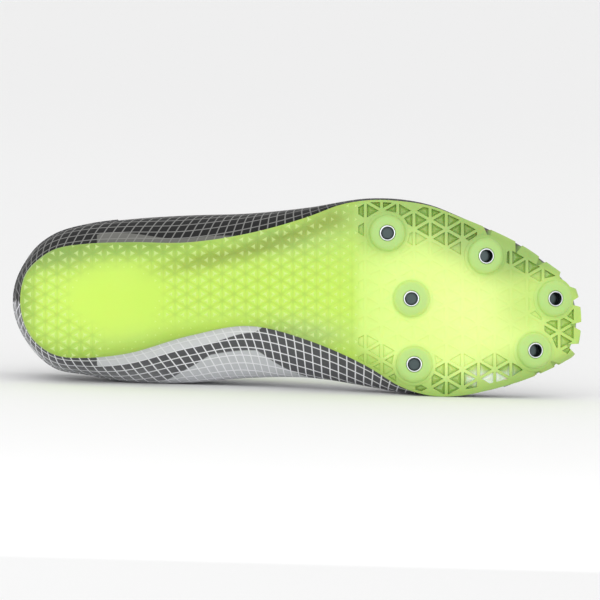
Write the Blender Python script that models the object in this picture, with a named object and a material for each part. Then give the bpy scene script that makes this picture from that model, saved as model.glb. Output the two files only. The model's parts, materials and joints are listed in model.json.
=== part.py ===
"""Track spike shoe, right foot, lying on its medial side with the sole facing -Y.

The shoe is built in its own frame: X from heel to toe, +Y towards the medial side,
Z up from the plane that the heel tread and the three ball bosses share.
A parent empty then turns the whole shoe over onto its medial side.
"""
import math

import bmesh
import bpy
import numpy as np
from mathutils import Matrix, Vector

MM = 0.001

# Leading sizes
LENGTH = 280.0 * MM
BALL_WIDTH = 95.9 * MM
INSTEP = 80.0 * MM
TOE_SPRING = 20.4 * MM
PLATE_THICK = 4.4 * MM
GAP = 0.3 * MM

# Where each long line starts and ends along the shoe
SOLE_START = 0.0121 * LENGTH
SOLE_END = 1.0 * LENGTH
GIRTH_START = 0.0 * LENGTH
GIRTH_END = 0.990 * LENGTH
EDGE_START = 0.0179 * LENGTH
EDGE_END = 0.983 * LENGTH
THROAT_SHARE = 0.675

# Upper
WALL = 1.6 * MM
COLLAR_PAD = 2.6 * MM
OVERLAY = 0.5 * MM
RIDGE_FULL = 0.56
EDGE_FULL = 0.46
SEAM_HALF = 0.0035
STATIONS = 31

# Plate
FEATHER_INSET = 1.2 * MM
TOE_FEATHER_INSET = 4.4 * MM
FEATHER_GAP = 0.42 * MM
PLATE_STATIONS = 36

# Bosses and spike sockets
BOSS_RADIUS = 9.0 * MM
BOSS_FACE_RADIUS = 6.3 * MM
BOSS_HEIGHT = 2.8 * MM
BOSS_SIDES = 18
SOCKET_RADIUS = 3.85 * MM
SOCKET_MOUTH = 3.1 * MM
SOCKET_DEPTH = 5.2 * MM
SOCKET_BORE = 4.4 * MM
SOCKET_SINK = 0.15 * MM
SOCKET_CHAMFER = 0.5 * MM
SOCKET_SIDES = 12

# Truss pockets of the forefoot
TRUSS_EDGE = 9.2 * MM
TRUSS_RIB = 1.7 * MM
TRUSS_DEPTH = 1.3 * MM
TRUSS_START = 0.600
TRUSS_END = 0.972
TRUSS_ORIGIN_X = 0.7614 * LENGTH
TRUSS_ORIGIN_Y = -0.3577 * BALL_WIDTH
TRUSS_MARGIN = 1.9 * MM
TRUSS_TAPER = 0.80
BOSS_MARGIN = 2.6 * MM

# Insole, tongue and laces
INSOLE_THICK = 2.0 * MM
INSOLE_INSET = 3.6 * MM
TONGUE_THICK = 2.4 * MM
TONGUE_CLEAR = 1.1 * MM
TONGUE_RUN = 25.0 * MM
LACE_WIDTH = 5.0 * MM
LACE_THICK = 1.2 * MM
LACE_STACK = 0.35 * MM
EYELET_RADIUS = 2.0 * MM
EYELET_PAIRS = 6
EYELET_FIRST = 0.362
EYELET_LAST = 0.640
EYELET_UP = 0.905

# Outline of the sole, heel to toe, as shares of the ball width
SOLE_NAMES = ("share", "lateral", "medial")
SOLE_ROWS = (
    (0.000, -0.006, 0.006),
    (0.007, 0.113, 0.128),
    (0.029, 0.195, 0.226),
    (0.063, 0.257, 0.288),
    (0.116, 0.283, 0.302),
    (0.196, 0.292, 0.277),
    (0.303, 0.292, 0.188),
    (0.409, 0.339, 0.139),
    (0.516, 0.426, 0.216),
    (0.569, 0.483, 0.277),
    (0.623, 0.508, 0.355),
    (0.677, 0.503, 0.450),
    (0.730, 0.478, 0.496),
    (0.783, 0.421, 0.497),
    (0.836, 0.359, 0.467),
    (0.890, 0.283, 0.424),
    (0.943, 0.180, 0.362),
    (0.970, 0.122, 0.322),
    (0.990, 0.056, 0.277),
    (1.000, -0.107, 0.107),
)

# Rounding of the plate's edge: rise of the underside, by half width and plate thickness
RIM_NAMES = ("across", "rise")
RIM_ROWS = (
    (0.780, 0.00),
    (0.910, 0.15),
    (0.965, 0.34),
    (1.000, 0.62),
)

# Profile of the plate: underside as a share of the toe spring, thickness of the plate
PROFILE_NAMES = ("share", "under", "thick")
PROFILE_ROWS = (
    (0.00, 0.160, 0.70),
    (0.04, 0.035, 0.93),
    (0.08, 0.000, 1.00),
    (0.21, 0.000, 1.00),
    (0.30, 0.085, 0.90),
    (0.39, 0.205, 0.77),
    (0.47, 0.250, 0.73),
    (0.55, 0.215, 0.73),
    (0.62, 0.150, 0.77),
    (0.68, 0.137, 0.80),
    (0.74, 0.155, 0.80),
    (0.80, 0.270, 0.77),
    (0.86, 0.455, 0.73),
    (0.92, 0.705, 0.70),
    (0.97, 0.960, 0.67),
    (1.00, 1.140, 0.60),
)

# Widest line of the upper: half widths by the ball width, height by the instep
GIRTH_NAMES = ("share", "lateral", "medial", "height", "lift")
GIRTH_ROWS = (
    (0.000, -0.005, 0.005, 0.275, 62.0),
    (0.020, 0.182, 0.197, 0.275, 60.0),
    (0.041, 0.264, 0.279, 0.275, 58.0),
    (0.075, 0.334, 0.354, 0.280, 54.0),
    (0.128, 0.380, 0.385, 0.295, 48.0),
    (0.208, 0.411, 0.426, 0.320, 44.0),
    (0.315, 0.431, 0.431, 0.360, 36.0),
    (0.421, 0.441, 0.406, 0.370, 32.0),
    (0.528, 0.472, 0.406, 0.330, 40.0),
    (0.634, 0.518, 0.452, 0.260, 58.0),
    (0.688, 0.513, 0.480, 0.230, 68.0),
    (0.741, 0.484, 0.491, 0.235, 72.0),
    (0.795, 0.422, 0.486, 0.255, 72.0),
    (0.848, 0.354, 0.468, 0.290, 72.0),
    (0.901, 0.270, 0.416, 0.335, 70.0),
    (0.954, 0.160, 0.340, 0.385, 68.0),
    (0.985, 0.060, 0.250, 0.410, 66.0),
    (1.000, -0.107, 0.107, 0.418, 64.0),
)

# Top line of the upper: the collar, the throat, then the ridge of the vamp
EDGE_NAMES = ("share", "centre", "height", "turn")
EDGE_ROWS = (
    (0.00, 0.005, 0.900, 4.0),
    (0.06, 0.006, 0.880, 6.0),
    (0.13, 0.010, 0.800, 9.0),
    (0.20, 0.012, 0.730, 12.0),
    (0.27, 0.014, 0.780, 24.0),
    (0.34, 0.016, 0.955, 46.0),
    (0.42, 0.018, 0.920, 54.0),
    (0.50, 0.020, 0.835, 60.0),
    (0.58, 0.024, 0.740, 66.0),
    (0.64, 0.030, 0.672, 76.0),
    (0.70, 0.036, 0.622, 90.0),
    (0.78, 0.050, 0.566, 90.0),
    (0.86, 0.068, 0.524, 90.0),
    (0.93, 0.088, 0.494, 90.0),
    (0.98, 0.102, 0.462, 84.0),
    (1.00, 0.107, 0.440, 60.0),
)

# Half width of the opening from the back of the collar to the foot of the throat
OPENING_NAMES = ("share", "half")
OPENING_ROWS = (
    (0.00, 0.000),
    (0.03, 0.150),
    (0.09, 0.235),
    (0.19, 0.300),
    (0.30, 0.325),
    (0.40, 0.300),
    (0.51, 0.218),
    (0.62, 0.186),
    (0.74, 0.166),
    (0.86, 0.140),
    (0.95, 0.095),
    (1.00, 0.000),
)

# Spike sockets: place by length and ball width, and the lean of the sole there
SPIKE_NAMES = ("name", "along", "across", "lean")
SPIKE_ROWS = (
    ("ball_lateral", 0.658, -0.339, 0.0),
    ("ball_centre", 0.700, -0.002, 0.0),
    ("ball_medial", 0.705, 0.335, 0.0),
    ("toe_lateral", 0.830, -0.221, 13.0),
    ("toe_tip", 0.951, -0.002, 21.0),
    ("toe_medial", 0.916, 0.264, 18.5),
)

# Notches in the toe edge: place, then width and depth as shares of one notch
NOTCH_NAMES = ("along", "across", "width", "depth")
NOTCH_ROWS = (
    (0.836, -0.362, 1.10, 0.35),
    (0.890, -0.284, 1.10, 0.45),
    (0.931, -0.205, 1.10, 0.60),
    (0.970, -0.105, 1.85, 0.75),
    (0.994, 0.016, 0.85, 1.15),
    (0.998, 0.139, 0.80, 1.15),
    (0.988, 0.251, 0.85, 1.10),
    (0.958, 0.349, 0.55, 0.80),
    (0.925, 0.390, 0.50, 0.65),
)
TOE_CENTRE_X = 0.843 * LENGTH
TOE_CENTRE_Y = 0.083 * BALL_WIDTH
NOTCH_WIDTH = 4.0 * MM
NOTCH_DEPTH = 2.0 * MM
GROOVE_REACH = 5.2 * MM
GROOVE_WIDTH = 5.4 * MM
GROOVE_DEPTH = 1.1 * MM

# Overlays that stand out of the wall: from and to along the shoe, from and to up the wall
OVERLAY_NAMES = ("name", "start", "end", "low", "high")
OVERLAY_ROWS = (
    ("heel_counter", -1.0, 0.185, 0.30, 0.66),
    ("eyestay", 0.325, 0.702, 0.84, 1.10),
    ("toe_cap", 0.872, 2.0, -1.0, 1.10),
)
STEP = 0.006

# Columns up one side of the wall: 0 at the feather line, GIRTH_UP at the widest, 1 at the top
GIRTH_UP = 0.30
WALL_COLUMNS = (0.0, 0.15, 0.30, 0.42, 0.54, 0.66, 0.75, 0.84, 0.92, 1.0)

MATERIALS = {
    "tpu_plate": ((0.56, 0.86, 0.22), 0.35, 0.0),
    "socket_steel": ((0.62, 0.63, 0.65), 0.25, 1.0),
    "ripstop": ((0.36, 0.36, 0.37), 0.6, 0.0),
    "insole_foam": ((0.12, 0.12, 0.12), 0.9, 0.0),
    "tongue_mesh": ((0.20, 0.20, 0.21), 0.85, 0.0),
    "lace_cord": ((0.72, 0.88, 0.20), 0.8, 0.0),
}
DENSITY = {
    "tpu_plate": 1150.0,
    "socket_steel": 7800.0,
    "ripstop": 700.0,
    "insole_foam": 250.0,
    "tongue_mesh": 350.0,
    "lace_cord": 700.0,
}


def column(rows, names, name):
    return np.array([row[names.index(name)] for row in rows], float)


def smooth(knots, values, at, level=False):
    """Cubic through the knots, each slope taken from its two neighbours.

    With level set, the curve is level at every knot where it turns or stops.
    """
    step = np.diff(knots)
    rise = np.diff(values) / step
    slope = np.empty(len(knots))
    slope[1:-1] = (rise[:-1] * step[1:] + rise[1:] * step[:-1]) / (step[:-1] + step[1:])
    if level:
        slope[1:-1][rise[:-1] * rise[1:] <= 0.0] = 0.0
    slope[0] = 1.5 * rise[0] - 0.5 * slope[1]
    slope[-1] = 1.5 * rise[-1] - 0.5 * slope[-2]
    at = np.clip(np.asarray(at, float), knots[0], knots[-1])
    i = np.clip(np.searchsorted(knots, at, side="right") - 1, 0, len(step) - 1)
    s = (at - knots[i]) / step[i]
    a = values[i] * (1 + 2 * s) * (1 - s) ** 2
    b = values[i + 1] * s * s * (3 - 2 * s)
    c = slope[i] * step[i] * s * (1 - s) ** 2
    d = slope[i + 1] * step[i] * s * s * (s - 1)
    return a + b + c + d


def round_ends(share):
    """Angle whose use as the spline's knot closes an outline with a round end."""
    return np.arccos(1.0 - 2.0 * np.clip(np.asarray(share, float), 0.0, 1.0))


def outline(rows, names, name, share):
    knots = round_ends(column(rows, names, "share"))
    return smooth(knots, column(rows, names, name), round_ends(share))


def profile(rows, names, name, share):
    return smooth(column(rows, names, "share"), column(rows, names, name), share, True)


def under(x):
    """Height of the plate's underside on the centre line."""
    return TOE_SPRING * profile(PROFILE_ROWS, PROFILE_NAMES, "under", np.asarray(x) / LENGTH)


def plate_top(x):
    thick = profile(PROFILE_ROWS, PROFILE_NAMES, "thick", np.asarray(x) / LENGTH)
    return under(x) + PLATE_THICK * thick


def rim_lift(across):
    """Rise of the underside at this share of the half width, by the plate's thickness."""
    return np.interp(np.abs(across), column(RIM_ROWS, RIM_NAMES, "across"),
                     column(RIM_ROWS, RIM_NAMES, "rise"))


def sole_x(share):
    return SOLE_START + (SOLE_END - SOLE_START) * np.asarray(share, float)


def sole_y(share, side):
    name = "medial" if side > 0 else "lateral"
    return side * BALL_WIDTH * outline(SOLE_ROWS, SOLE_NAMES, name, share)


def underside(x, y):
    """Height of the plate's underside at any point of the sole."""
    share = (x - SOLE_START) / (SOLE_END - SOLE_START)
    low = float(sole_y(share, -1))
    high = float(sole_y(share, 1))
    across = 2.0 * (y - low) / max(high - low, MM) - 1.0
    thick = float(plate_top(x)) - float(under(x))
    return float(under(x)) + thick * float(rim_lift(across))


def blend(low, high, value):
    s = np.clip((np.asarray(value, float) - low) / (high - low), 0.0, 1.0)
    return s * s * (3 - 2 * s)


def unit(vector):
    length = np.linalg.norm(vector)
    return vector / length if length > 1e-12 else vector * 0.0


def inset_line(share, side, inset):
    """Point of the sole's outline moved square into the sole by the inset."""
    delta = 0.004
    low = max(share - delta, 0.0)
    high = min(share + delta, 1.0)
    if share <= 0.0:
        return np.array([sole_x(0.0) + inset, sole_y(0.0, side)])
    if share >= 1.0:
        return np.array([sole_x(1.0) - inset, sole_y(1.0, side)])
    run = np.array([sole_x(high) - sole_x(low), sole_y(high, side) - sole_y(low, side)])
    run = unit(run)
    inward = np.array([run[1], -run[0]]) * side
    return np.array([sole_x(share), sole_y(share, side)]) + inward * inset


def feather(share, side):
    inset = FEATHER_INSET + (TOE_FEATHER_INSET - FEATHER_INSET) * float(blend(0.80, 0.95, share))
    x, y = inset_line(share, side, inset)
    return np.array([x, y, float(plate_top(x)) + FEATHER_GAP])


def girth(share, side):
    name = "medial" if side > 0 else "lateral"
    x = GIRTH_START + (GIRTH_END - GIRTH_START) * share
    y = side * BALL_WIDTH * float(outline(GIRTH_ROWS, GIRTH_NAMES, name, share))
    z = INSTEP * float(profile(GIRTH_ROWS, GIRTH_NAMES, "height", share))
    return np.array([x, y, z])


def edge(share, side):
    x = EDGE_START + (EDGE_END - EDGE_START) * share
    y = BALL_WIDTH * float(profile(EDGE_ROWS, EDGE_NAMES, "centre", share))
    if share < THROAT_SHARE:
        half = outline(OPENING_ROWS, OPENING_NAMES, "half", share / THROAT_SHARE)
        y += side * BALL_WIDTH * float(half)
    z = INSTEP * float(profile(EDGE_ROWS, EDGE_NAMES, "height", share))
    return np.array([x, y, z])


def bezier(p0, p1, p2, p3, s):
    return p0 * (1 - s) ** 3 + p1 * 3 * s * (1 - s) ** 2 + p2 * 3 * s * s * (1 - s) + p3 * s ** 3


def wall(share, side, up):
    """Point of the upper's outer face: share along the shoe, up from feather to top line."""
    foot = feather(share, side)
    wide = girth(share, side)
    top = edge(share, side)
    vertical = np.array([0.0, 0.0, 1.0])
    if up <= GIRTH_UP:
        lift = math.radians(float(profile(GIRTH_ROWS, GIRTH_NAMES, "lift", share)))
        out = unit(np.array([wide[0] - foot[0], wide[1] - foot[1], 0.0]))
        reach = np.linalg.norm(wide - foot) * 0.42
        start = foot + (out * math.cos(lift) + vertical * math.sin(lift)) * reach
        end = wide - vertical * 0.46 * (wide[2] - foot[2])
        return bezier(foot, start, end, wide, up / GIRTH_UP)
    turn = math.radians(float(profile(EDGE_ROWS, EDGE_NAMES, "turn", share)))
    inward = unit(np.array([top[0] - wide[0], top[1] - wide[1], 0.0]))
    start = wide + vertical * RIDGE_FULL * (top[2] - wide[2])
    reach = np.linalg.norm(top - wide) * EDGE_FULL
    end = top - (inward * math.sin(turn) + vertical * math.cos(turn)) * reach
    return bezier(wide, start, end, top, (up - GIRTH_UP) / (1.0 - GIRTH_UP))


def bridge(share, across):
    """The instep's own line carried over the open throat, 0 lateral to 1 medial."""
    left = edge(share, -1)
    right = edge(share, 1)
    reach = np.linalg.norm(right - left) * 0.36
    a = left + unit(left - wall(share, -1, 0.97)) * reach
    b = right + unit(right - wall(share, 1, 0.97)) * reach
    return bezier(left, a, b, right, across)


def wall_normal(share, side, up):
    d = 0.004
    lift = wall(share, side, min(up + d, 1.0)) - wall(share, side, up - d)
    run = wall(share + d, side, up) - wall(share - d, side, up)
    return unit(np.cross(run, lift)) * -side


def weld(points, faces, tolerance=1e-6):
    """Join points that coincide and drop the faces that vanish with them."""
    seen = {}
    index = []
    kept = []
    for point in points:
        key = tuple(np.round(np.asarray(point) / tolerance).astype(int))
        if key not in seen:
            seen[key] = len(kept)
            kept.append(np.asarray(point, float))
        index.append(seen[key])
    clean = []
    for face in faces:
        ring = []
        for i in face:
            j = index[i]
            if not ring or ring[-1] != j:
                ring.append(j)
        while len(ring) > 1 and ring[0] == ring[-1]:
            ring.pop()
        if len(set(ring)) >= 3 and len(set(ring)) == len(ring):
            clean.append(tuple(ring))
    return np.array(kept), clean


def point_normals(points, faces):
    normals = np.zeros_like(points)
    for face in faces:
        ring = points[list(face)]
        middle = ring.mean(axis=0)
        area = np.zeros(3)
        for a, b in zip(ring, np.roll(ring, -1, axis=0)):
            area += np.cross(a - middle, b - middle)
        for i in face:
            normals[i] += area
    lengths = np.linalg.norm(normals, axis=1)
    return normals / np.maximum(lengths, 1e-15)[:, None]


def add_mesh(name, points, faces, collection, material=None):
    mesh = bpy.data.meshes.new(name)
    mesh.from_pydata([tuple(p) for p in points], [], faces)
    mesh.update()
    work = bmesh.new()
    work.from_mesh(mesh)
    bmesh.ops.remove_doubles(work, verts=work.verts, dist=1e-6)
    bmesh.ops.recalc_face_normals(work, faces=work.faces)
    if work.calc_volume(signed=True) < 0:
        bmesh.ops.reverse_faces(work, faces=work.faces)
    work.to_mesh(mesh)
    work.free()
    thing = bpy.data.objects.new(name, mesh)
    collection.objects.link(thing)
    if material:
        mesh.materials.append(material)
    return thing


def make_material(name):
    colour, rough, metal = MATERIALS[name]
    material = bpy.data.materials.new(name)
    material.use_nodes = True
    shader = material.node_tree.nodes["Principled BSDF"]
    shader.inputs["Base Color"].default_value = (*colour, 1.0)
    shader.inputs["Roughness"].default_value = rough
    shader.inputs["Metallic"].default_value = metal
    material.diffuse_color = (*colour, 1.0)
    return material


def loft(rings, closed_ends):
    """Faces of a tube through equal rings of points, with flat ends when asked."""
    count = len(rings[0])
    points = [p for ring in rings for p in ring]
    faces = []
    for i in range(len(rings) - 1):
        for j in range(count):
            k = (j + 1) % count
            faces.append((i * count + j, i * count + k, (i + 1) * count + k, (i + 1) * count + j))
    if closed_ends:
        faces.append(tuple(range(count)))
        faces.append(tuple(range((len(rings) - 1) * count, len(rings) * count)))
    return weld(points, faces)


def boolean(thing, cutter, operation):
    modifier = thing.modifiers.new(cutter.name, "BOOLEAN")
    modifier.object = cutter
    modifier.operation = operation
    modifier.solver = "EXACT"
    bpy.context.view_layer.update()
    graph = bpy.context.evaluated_depsgraph_get()
    mesh = bpy.data.meshes.new_from_object(thing.evaluated_get(graph))
    thing.modifiers.clear()
    old = thing.data
    thing.data = mesh
    mesh.name = old.name
    bpy.data.meshes.remove(old)


def tidy(thing, near=0.01 * MM):
    """Weld, dissolve flat leftovers and triangulate the outcome of the cuts."""
    work = bmesh.new()
    work.from_mesh(thing.data)
    if near > 0.0:
        bmesh.ops.remove_doubles(work, verts=work.verts, dist=near)
        bmesh.ops.dissolve_degenerate(work, edges=work.edges, dist=near)
    bmesh.ops.triangulate(work, faces=work.faces)
    bmesh.ops.recalc_face_normals(work, faces=work.faces)
    if work.calc_volume(signed=True) < 0:
        bmesh.ops.reverse_faces(work, faces=work.faces)
    work.to_mesh(thing.data)
    work.free()


def round_shares(count):
    return [0.5 - 0.5 * math.cos(math.pi * i / count) for i in range(count + 1)]


def raised(share, up):
    """How far an overlay stands out of the wall here."""
    for row in OVERLAY_ROWS:
        _, start, end, low, high = row
        if start <= share <= end and low <= up <= high:
            return OVERLAY
    return 0.0


def pad(share, up):
    """Extra wall on the inside of the collar, fading to the sides and below."""
    collar = 1.0 - float(blend(0.20, 0.30, share))
    return COLLAR_PAD * collar * float(blend(0.62, 0.80, up))


def upper_shares():
    """Stations along the upper, with a pair at each end of an overlay."""
    shares = round_shares(STATIONS)
    special = [THROAT_SHARE, THROAT_SHARE - 0.006, THROAT_SHARE - 0.020, THROAT_SHARE - 0.040]
    for row in OVERLAY_ROWS:
        for end, sign in ((row[1], -1), (row[2], 1)):
            if 0.0 < end < 1.0:
                special += [end, end + sign * STEP]
    kept = [s for s in shares if min(abs(s - t) for t in special) > 0.007 or s in (0.0, 1.0)]
    return sorted(kept + special)


def upper_columns():
    columns = set(WALL_COLUMNS)
    for row in OVERLAY_ROWS:
        for end, sign in ((row[3], -1), (row[4], 1)):
            if 0.0 < end < 1.0:
                columns.add(end)
                columns.add(end + sign * 0.012)
    return sorted(columns)


def make_upper(collection, material):
    shares = upper_shares()
    columns = upper_columns()
    outer = []
    tags = []
    for share in shares:
        for side, order in ((-1, columns), (1, columns[::-1])):
            for up in order:
                outer.append(wall(share, side, up))
                tags.append((share, up))
    wide = 2 * len(columns)
    faces = []
    for i in range(len(shares) - 1):
        for j in range(wide - 1):
            if j == len(columns) - 1:
                continue
            a = i * wide + j
            faces.append((a, a + 1, a + 1 + wide, a + wide))
    seen = {}
    for point, tag in zip(outer, tags):
        key = tuple(np.round(point / 1e-6).astype(int))
        if key not in seen:
            seen[key] = tag
    points, faces = weld(outer, faces)
    tags = [seen[tuple(np.round(p / 1e-6).astype(int))] for p in points]
    normals = point_normals(points, faces)
    middle = np.array([LENGTH * 0.4, 0.0, INSTEP * 0.3])
    if np.mean(np.einsum("ij,ij->i", normals, points - middle)) < 0:
        normals = -normals
    skin = np.array([p + n * raised(*t) for p, n, t in zip(points, normals, tags)])
    lining = np.array([p - n * (WALL + pad(*t)) for p, n, t in zip(points, normals, tags)])
    foot = np.array([t[1] == 0.0 for t in tags])
    lining[foot, 2] = np.maximum(lining[foot, 2], points[foot, 2] + 0.05 * MM)
    count = len(points)
    uses = {}
    for face in faces:
        for a, b in zip(face, face[1:] + face[:1]):
            uses.setdefault(frozenset((a, b)), []).append((a, b))
    whole = list(faces) + [tuple(i + count for i in reversed(face)) for face in faces]
    for pairs in uses.values():
        if len(pairs) == 1:
            a, b = pairs[0]
            whole.append((b, a, a + count, b + count))
    upper = add_mesh("upper", np.vstack([skin, lining]), whole, collection, material)
    return upper


def plate_ring(share):
    """One slice across the plate: underside from lateral to medial, then the top."""
    x = float(sole_x(share))
    low = float(sole_y(share, -1))
    high = float(sole_y(share, 1))
    middle = 0.5 * (low + high)
    half = 0.5 * (high - low)
    base = float(under(x))
    top = float(plate_top(x))
    slice_rows = [(-across, rise) for across, rise in reversed(RIM_ROWS)] + [(0.0, 0.0)]
    slice_rows += list(RIM_ROWS)
    slice_rows += [(1.0, 0.93), (0.98, 1.0), (0.0, 1.0), (-0.98, 1.0), (-1.0, 0.93)]
    ring = []
    for across, rise in slice_rows:
        ring.append(np.array([x, middle + across * half, base + (top - base) * rise]))
    return ring


def revolve(profile_points, sides, turn):
    """A closed body of revolution from (radius, height) pairs, ends on the axis."""
    points = []
    rows = []
    for radius, height in profile_points:
        if radius <= 0.0:
            rows.append([len(points)])
            points.append(Vector((0.0, 0.0, height)))
            continue
        row = []
        for k in range(sides):
            angle = 2 * math.pi * (k + 0.5) / sides
            row.append(len(points))
            points.append(Vector((radius * math.cos(angle), radius * math.sin(angle), height)))
        rows.append(row)
    faces = []
    for a, b in zip(rows, rows[1:]):
        for k in range(sides):
            m = (k + 1) % sides
            if len(a) == 1:
                faces.append((a[0], b[k], b[m]))
            elif len(b) == 1:
                faces.append((a[k], a[m], b[0]))
            else:
                faces.append((a[k], a[m], b[m], b[k]))
    return [tuple(turn @ p) for p in points], faces


def spike_frame(row):
    """Turn and place for a socket: local -Z looks out of the sole from the boss face."""
    _, along, across, lean = row
    x = along * LENGTH
    y = across * BALL_WIDTH
    tilt = Matrix.Rotation(-math.radians(lean), 4, "Y")
    if lean == 0.0:
        face = Vector((x, y, 0.0))
    else:
        out = tilt @ Vector((0.0, 0.0, -1.0))
        face = Vector((x, y, float(under(x)))) + out * BOSS_HEIGHT
    return Matrix.Translation(face) @ tilt


def boss_cutters(plate, collection):
    for row in SPIKE_ROWS:
        frame = spike_frame(row)
        depth = 1.43 * BOSS_HEIGHT
        rise = ((0.0, 0.0), (BOSS_FACE_RADIUS, 0.0), (0.88 * BOSS_RADIUS, 0.25 * BOSS_HEIGHT),
                (BOSS_RADIUS, 0.71 * BOSS_HEIGHT), (BOSS_RADIUS, depth), (0.0, depth))
        points, faces = revolve(rise, BOSS_SIDES, frame)
        boss = add_mesh("boss_" + row[0], points, faces, collection)
        boolean(plate, boss, "UNION")
    for row in SPIKE_ROWS:
        frame = spike_frame(row)
        radius = SOCKET_RADIUS + 1.1 * GAP
        floor = SOCKET_DEPTH + SOCKET_SINK + GAP
        rise = ((0.0, -radius), (radius, -radius), (radius, floor), (0.0, floor))
        points, faces = revolve(rise, SOCKET_SIDES, frame)
        bore = add_mesh("bore_" + row[0], points, faces, collection)
        boolean(plate, bore, "DIFFERENCE")


def socket_shape(row):
    """Points and faces of one steel insert: a blind cup with a chamfered mouth."""
    low = SOCKET_SINK
    bore = SOCKET_MOUTH - SOCKET_CHAMFER
    rise = ((0.0, low + SOCKET_DEPTH), (SOCKET_RADIUS, low + SOCKET_DEPTH),
            (SOCKET_RADIUS, low + 0.6 * SOCKET_CHAMFER),
            (SOCKET_RADIUS - 0.6 * SOCKET_CHAMFER, low), (SOCKET_MOUTH, low),
            (bore, low + SOCKET_CHAMFER), (bore, low + SOCKET_BORE), (0.0, low + SOCKET_BORE))
    return revolve(rise, SOCKET_SIDES, spike_frame(row))


def make_sockets(collection, material):
    for row in SPIKE_ROWS:
        points, faces = socket_shape(row)
        add_mesh("spike_socket_" + row[0], points, faces, collection, material)


def truss_cells():
    """Centres of the triangles of the lattice, and whether each points to +X."""
    high = TRUSS_EDGE * math.sqrt(3.0) / 2.0
    cells = []
    for i in range(-8, 12):
        for j in range(-14, 15):
            node_x = TRUSS_ORIGIN_X + i * high
            node_y = TRUSS_ORIGIN_Y + (j + 0.5 * (i % 2)) * TRUSS_EDGE
            cells.append((node_x + high / 3.0, node_y + TRUSS_EDGE / 2.0, 1))
            cells.append((node_x - high / 3.0, node_y + TRUSS_EDGE / 2.0, -1))
    return cells


def inside_panel(x, y, margin):
    share = (x - SOLE_START) / (SOLE_END - SOLE_START)
    if share <= TRUSS_START or share >= TRUSS_END:
        return False
    return sole_y(share, -1) + margin < y < sole_y(share, 1) - margin


def cut_truss(plate, collection):
    """Sink a triangular pocket in every cell clear of the rim and the bosses."""
    reach = TRUSS_EDGE / math.sqrt(3.0) - TRUSS_RIB
    points = []
    faces = []
    for cx, cy, way in truss_cells():
        corners = []
        for k in range(3):
            angle = 2.0 * math.pi * k / 3.0 + (0.0 if way > 0 else math.pi)
            corners.append((cx + reach * math.cos(angle), cy + reach * math.sin(angle)))
        if not all(inside_panel(x, y, TRUSS_MARGIN) for x, y in corners):
            continue
        near = min(math.hypot(cx - row[1] * LENGTH, cy - row[2] * BALL_WIDTH)
                   for row in SPIKE_ROWS)
        if near < BOSS_RADIUS + BOSS_MARGIN:
            continue
        base = len(points)
        for x, y in corners:
            points.append((x, y, underside(x, y) - TRUSS_DEPTH))
        for x, y in corners:
            x2 = cx + (x - cx) * TRUSS_TAPER
            y2 = cy + (y - cy) * TRUSS_TAPER
            points.append((x2, y2, underside(x2, y2) + TRUSS_DEPTH))
        faces.append((base, base + 1, base + 2))
        faces.append((base + 3, base + 5, base + 4))
        for k in range(3):
            m = (k + 1) % 3
            faces.append((base + k, base + 3 + k, base + 3 + m, base + m))
    cutter = add_mesh("truss_pockets", points, faces, collection)
    boolean(plate, cutter, "DIFFERENCE")


def wedge(name, corners, high, collection):
    """An upright prism on the corners, its top at its own height over each corner."""
    count = len(corners)
    points = [(corner[0], corner[1], -TOE_SPRING) for corner in corners]
    points += [(corner[0], corner[1], top) for corner, top in zip(corners, high)]
    faces = [tuple(range(count)), tuple(count + k for k in reversed(range(count)))]
    for k in range(count):
        m = (k + 1) % count
        faces.append((k, count + k, count + m, m))
    return add_mesh(name, points, faces, collection)


def notch_place(row):
    """Start of a notch on the toe's edge, and the ways out of the shoe and along the edge."""
    start = np.array([row[0] * LENGTH, row[1] * BALL_WIDTH])
    out = unit(start - np.array([TOE_CENTRE_X, TOE_CENTRE_Y]))
    return start, out, np.array([-out[1], out[0]])


def cut_grooves(plate, collection):
    """The grooves that run inwards from the notches and part the toe's lugs."""
    for number, row in enumerate(NOTCH_ROWS):
        start, out, side = notch_place(row)
        tip = start - out * GROOVE_REACH
        far = start + out * NOTCH_DEPTH
        at_start = underside(*start) + GROOVE_DEPTH
        at_tip = underside(*tip) + GROOVE_DEPTH
        at_far = at_start + (at_start - at_tip) * NOTCH_DEPTH / GROOVE_REACH
        half = side * GROOVE_WIDTH * 0.5
        groove = wedge("toe_groove_%d" % (number + 1), (tip, far + half, far - half),
                       (at_tip, at_far, at_far), collection)
        boolean(plate, groove, "DIFFERENCE")


def cut_notches(plate, collection):
    """Teeth round the toe: notches that widen outwards, cut square to the edge."""
    for number, row in enumerate(NOTCH_ROWS):
        _, _, width, depth = row
        start, out, side = notch_place(row)
        inner = start - out * depth * NOTCH_DEPTH
        outer = start + out * 3.0 * NOTCH_DEPTH
        narrow = side * width * NOTCH_WIDTH * 0.32
        wide = side * width * NOTCH_WIDTH * 1.4
        corners = (inner - narrow, inner + narrow, outer + wide, outer - wide)
        top = [2.5 * TOE_SPRING for _ in corners]
        notch = wedge("toe_notch_%d" % (number + 1), corners, top, collection)
        boolean(plate, notch, "DIFFERENCE")


def make_outsole(collection, cutters, material):
    rings = [plate_ring(share) for share in round_shares(PLATE_STATIONS)]
    points, faces = loft(rings, False)
    plate = add_mesh("outsole", points, faces, collection, material)
    cut_truss(plate, cutters)
    cut_grooves(plate, cutters)
    cut_notches(plate, cutters)
    boss_cutters(plate, cutters)
    tidy(plate)
    plate.data.materials.clear()
    plate.data.materials.append(material)
    return plate


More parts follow.
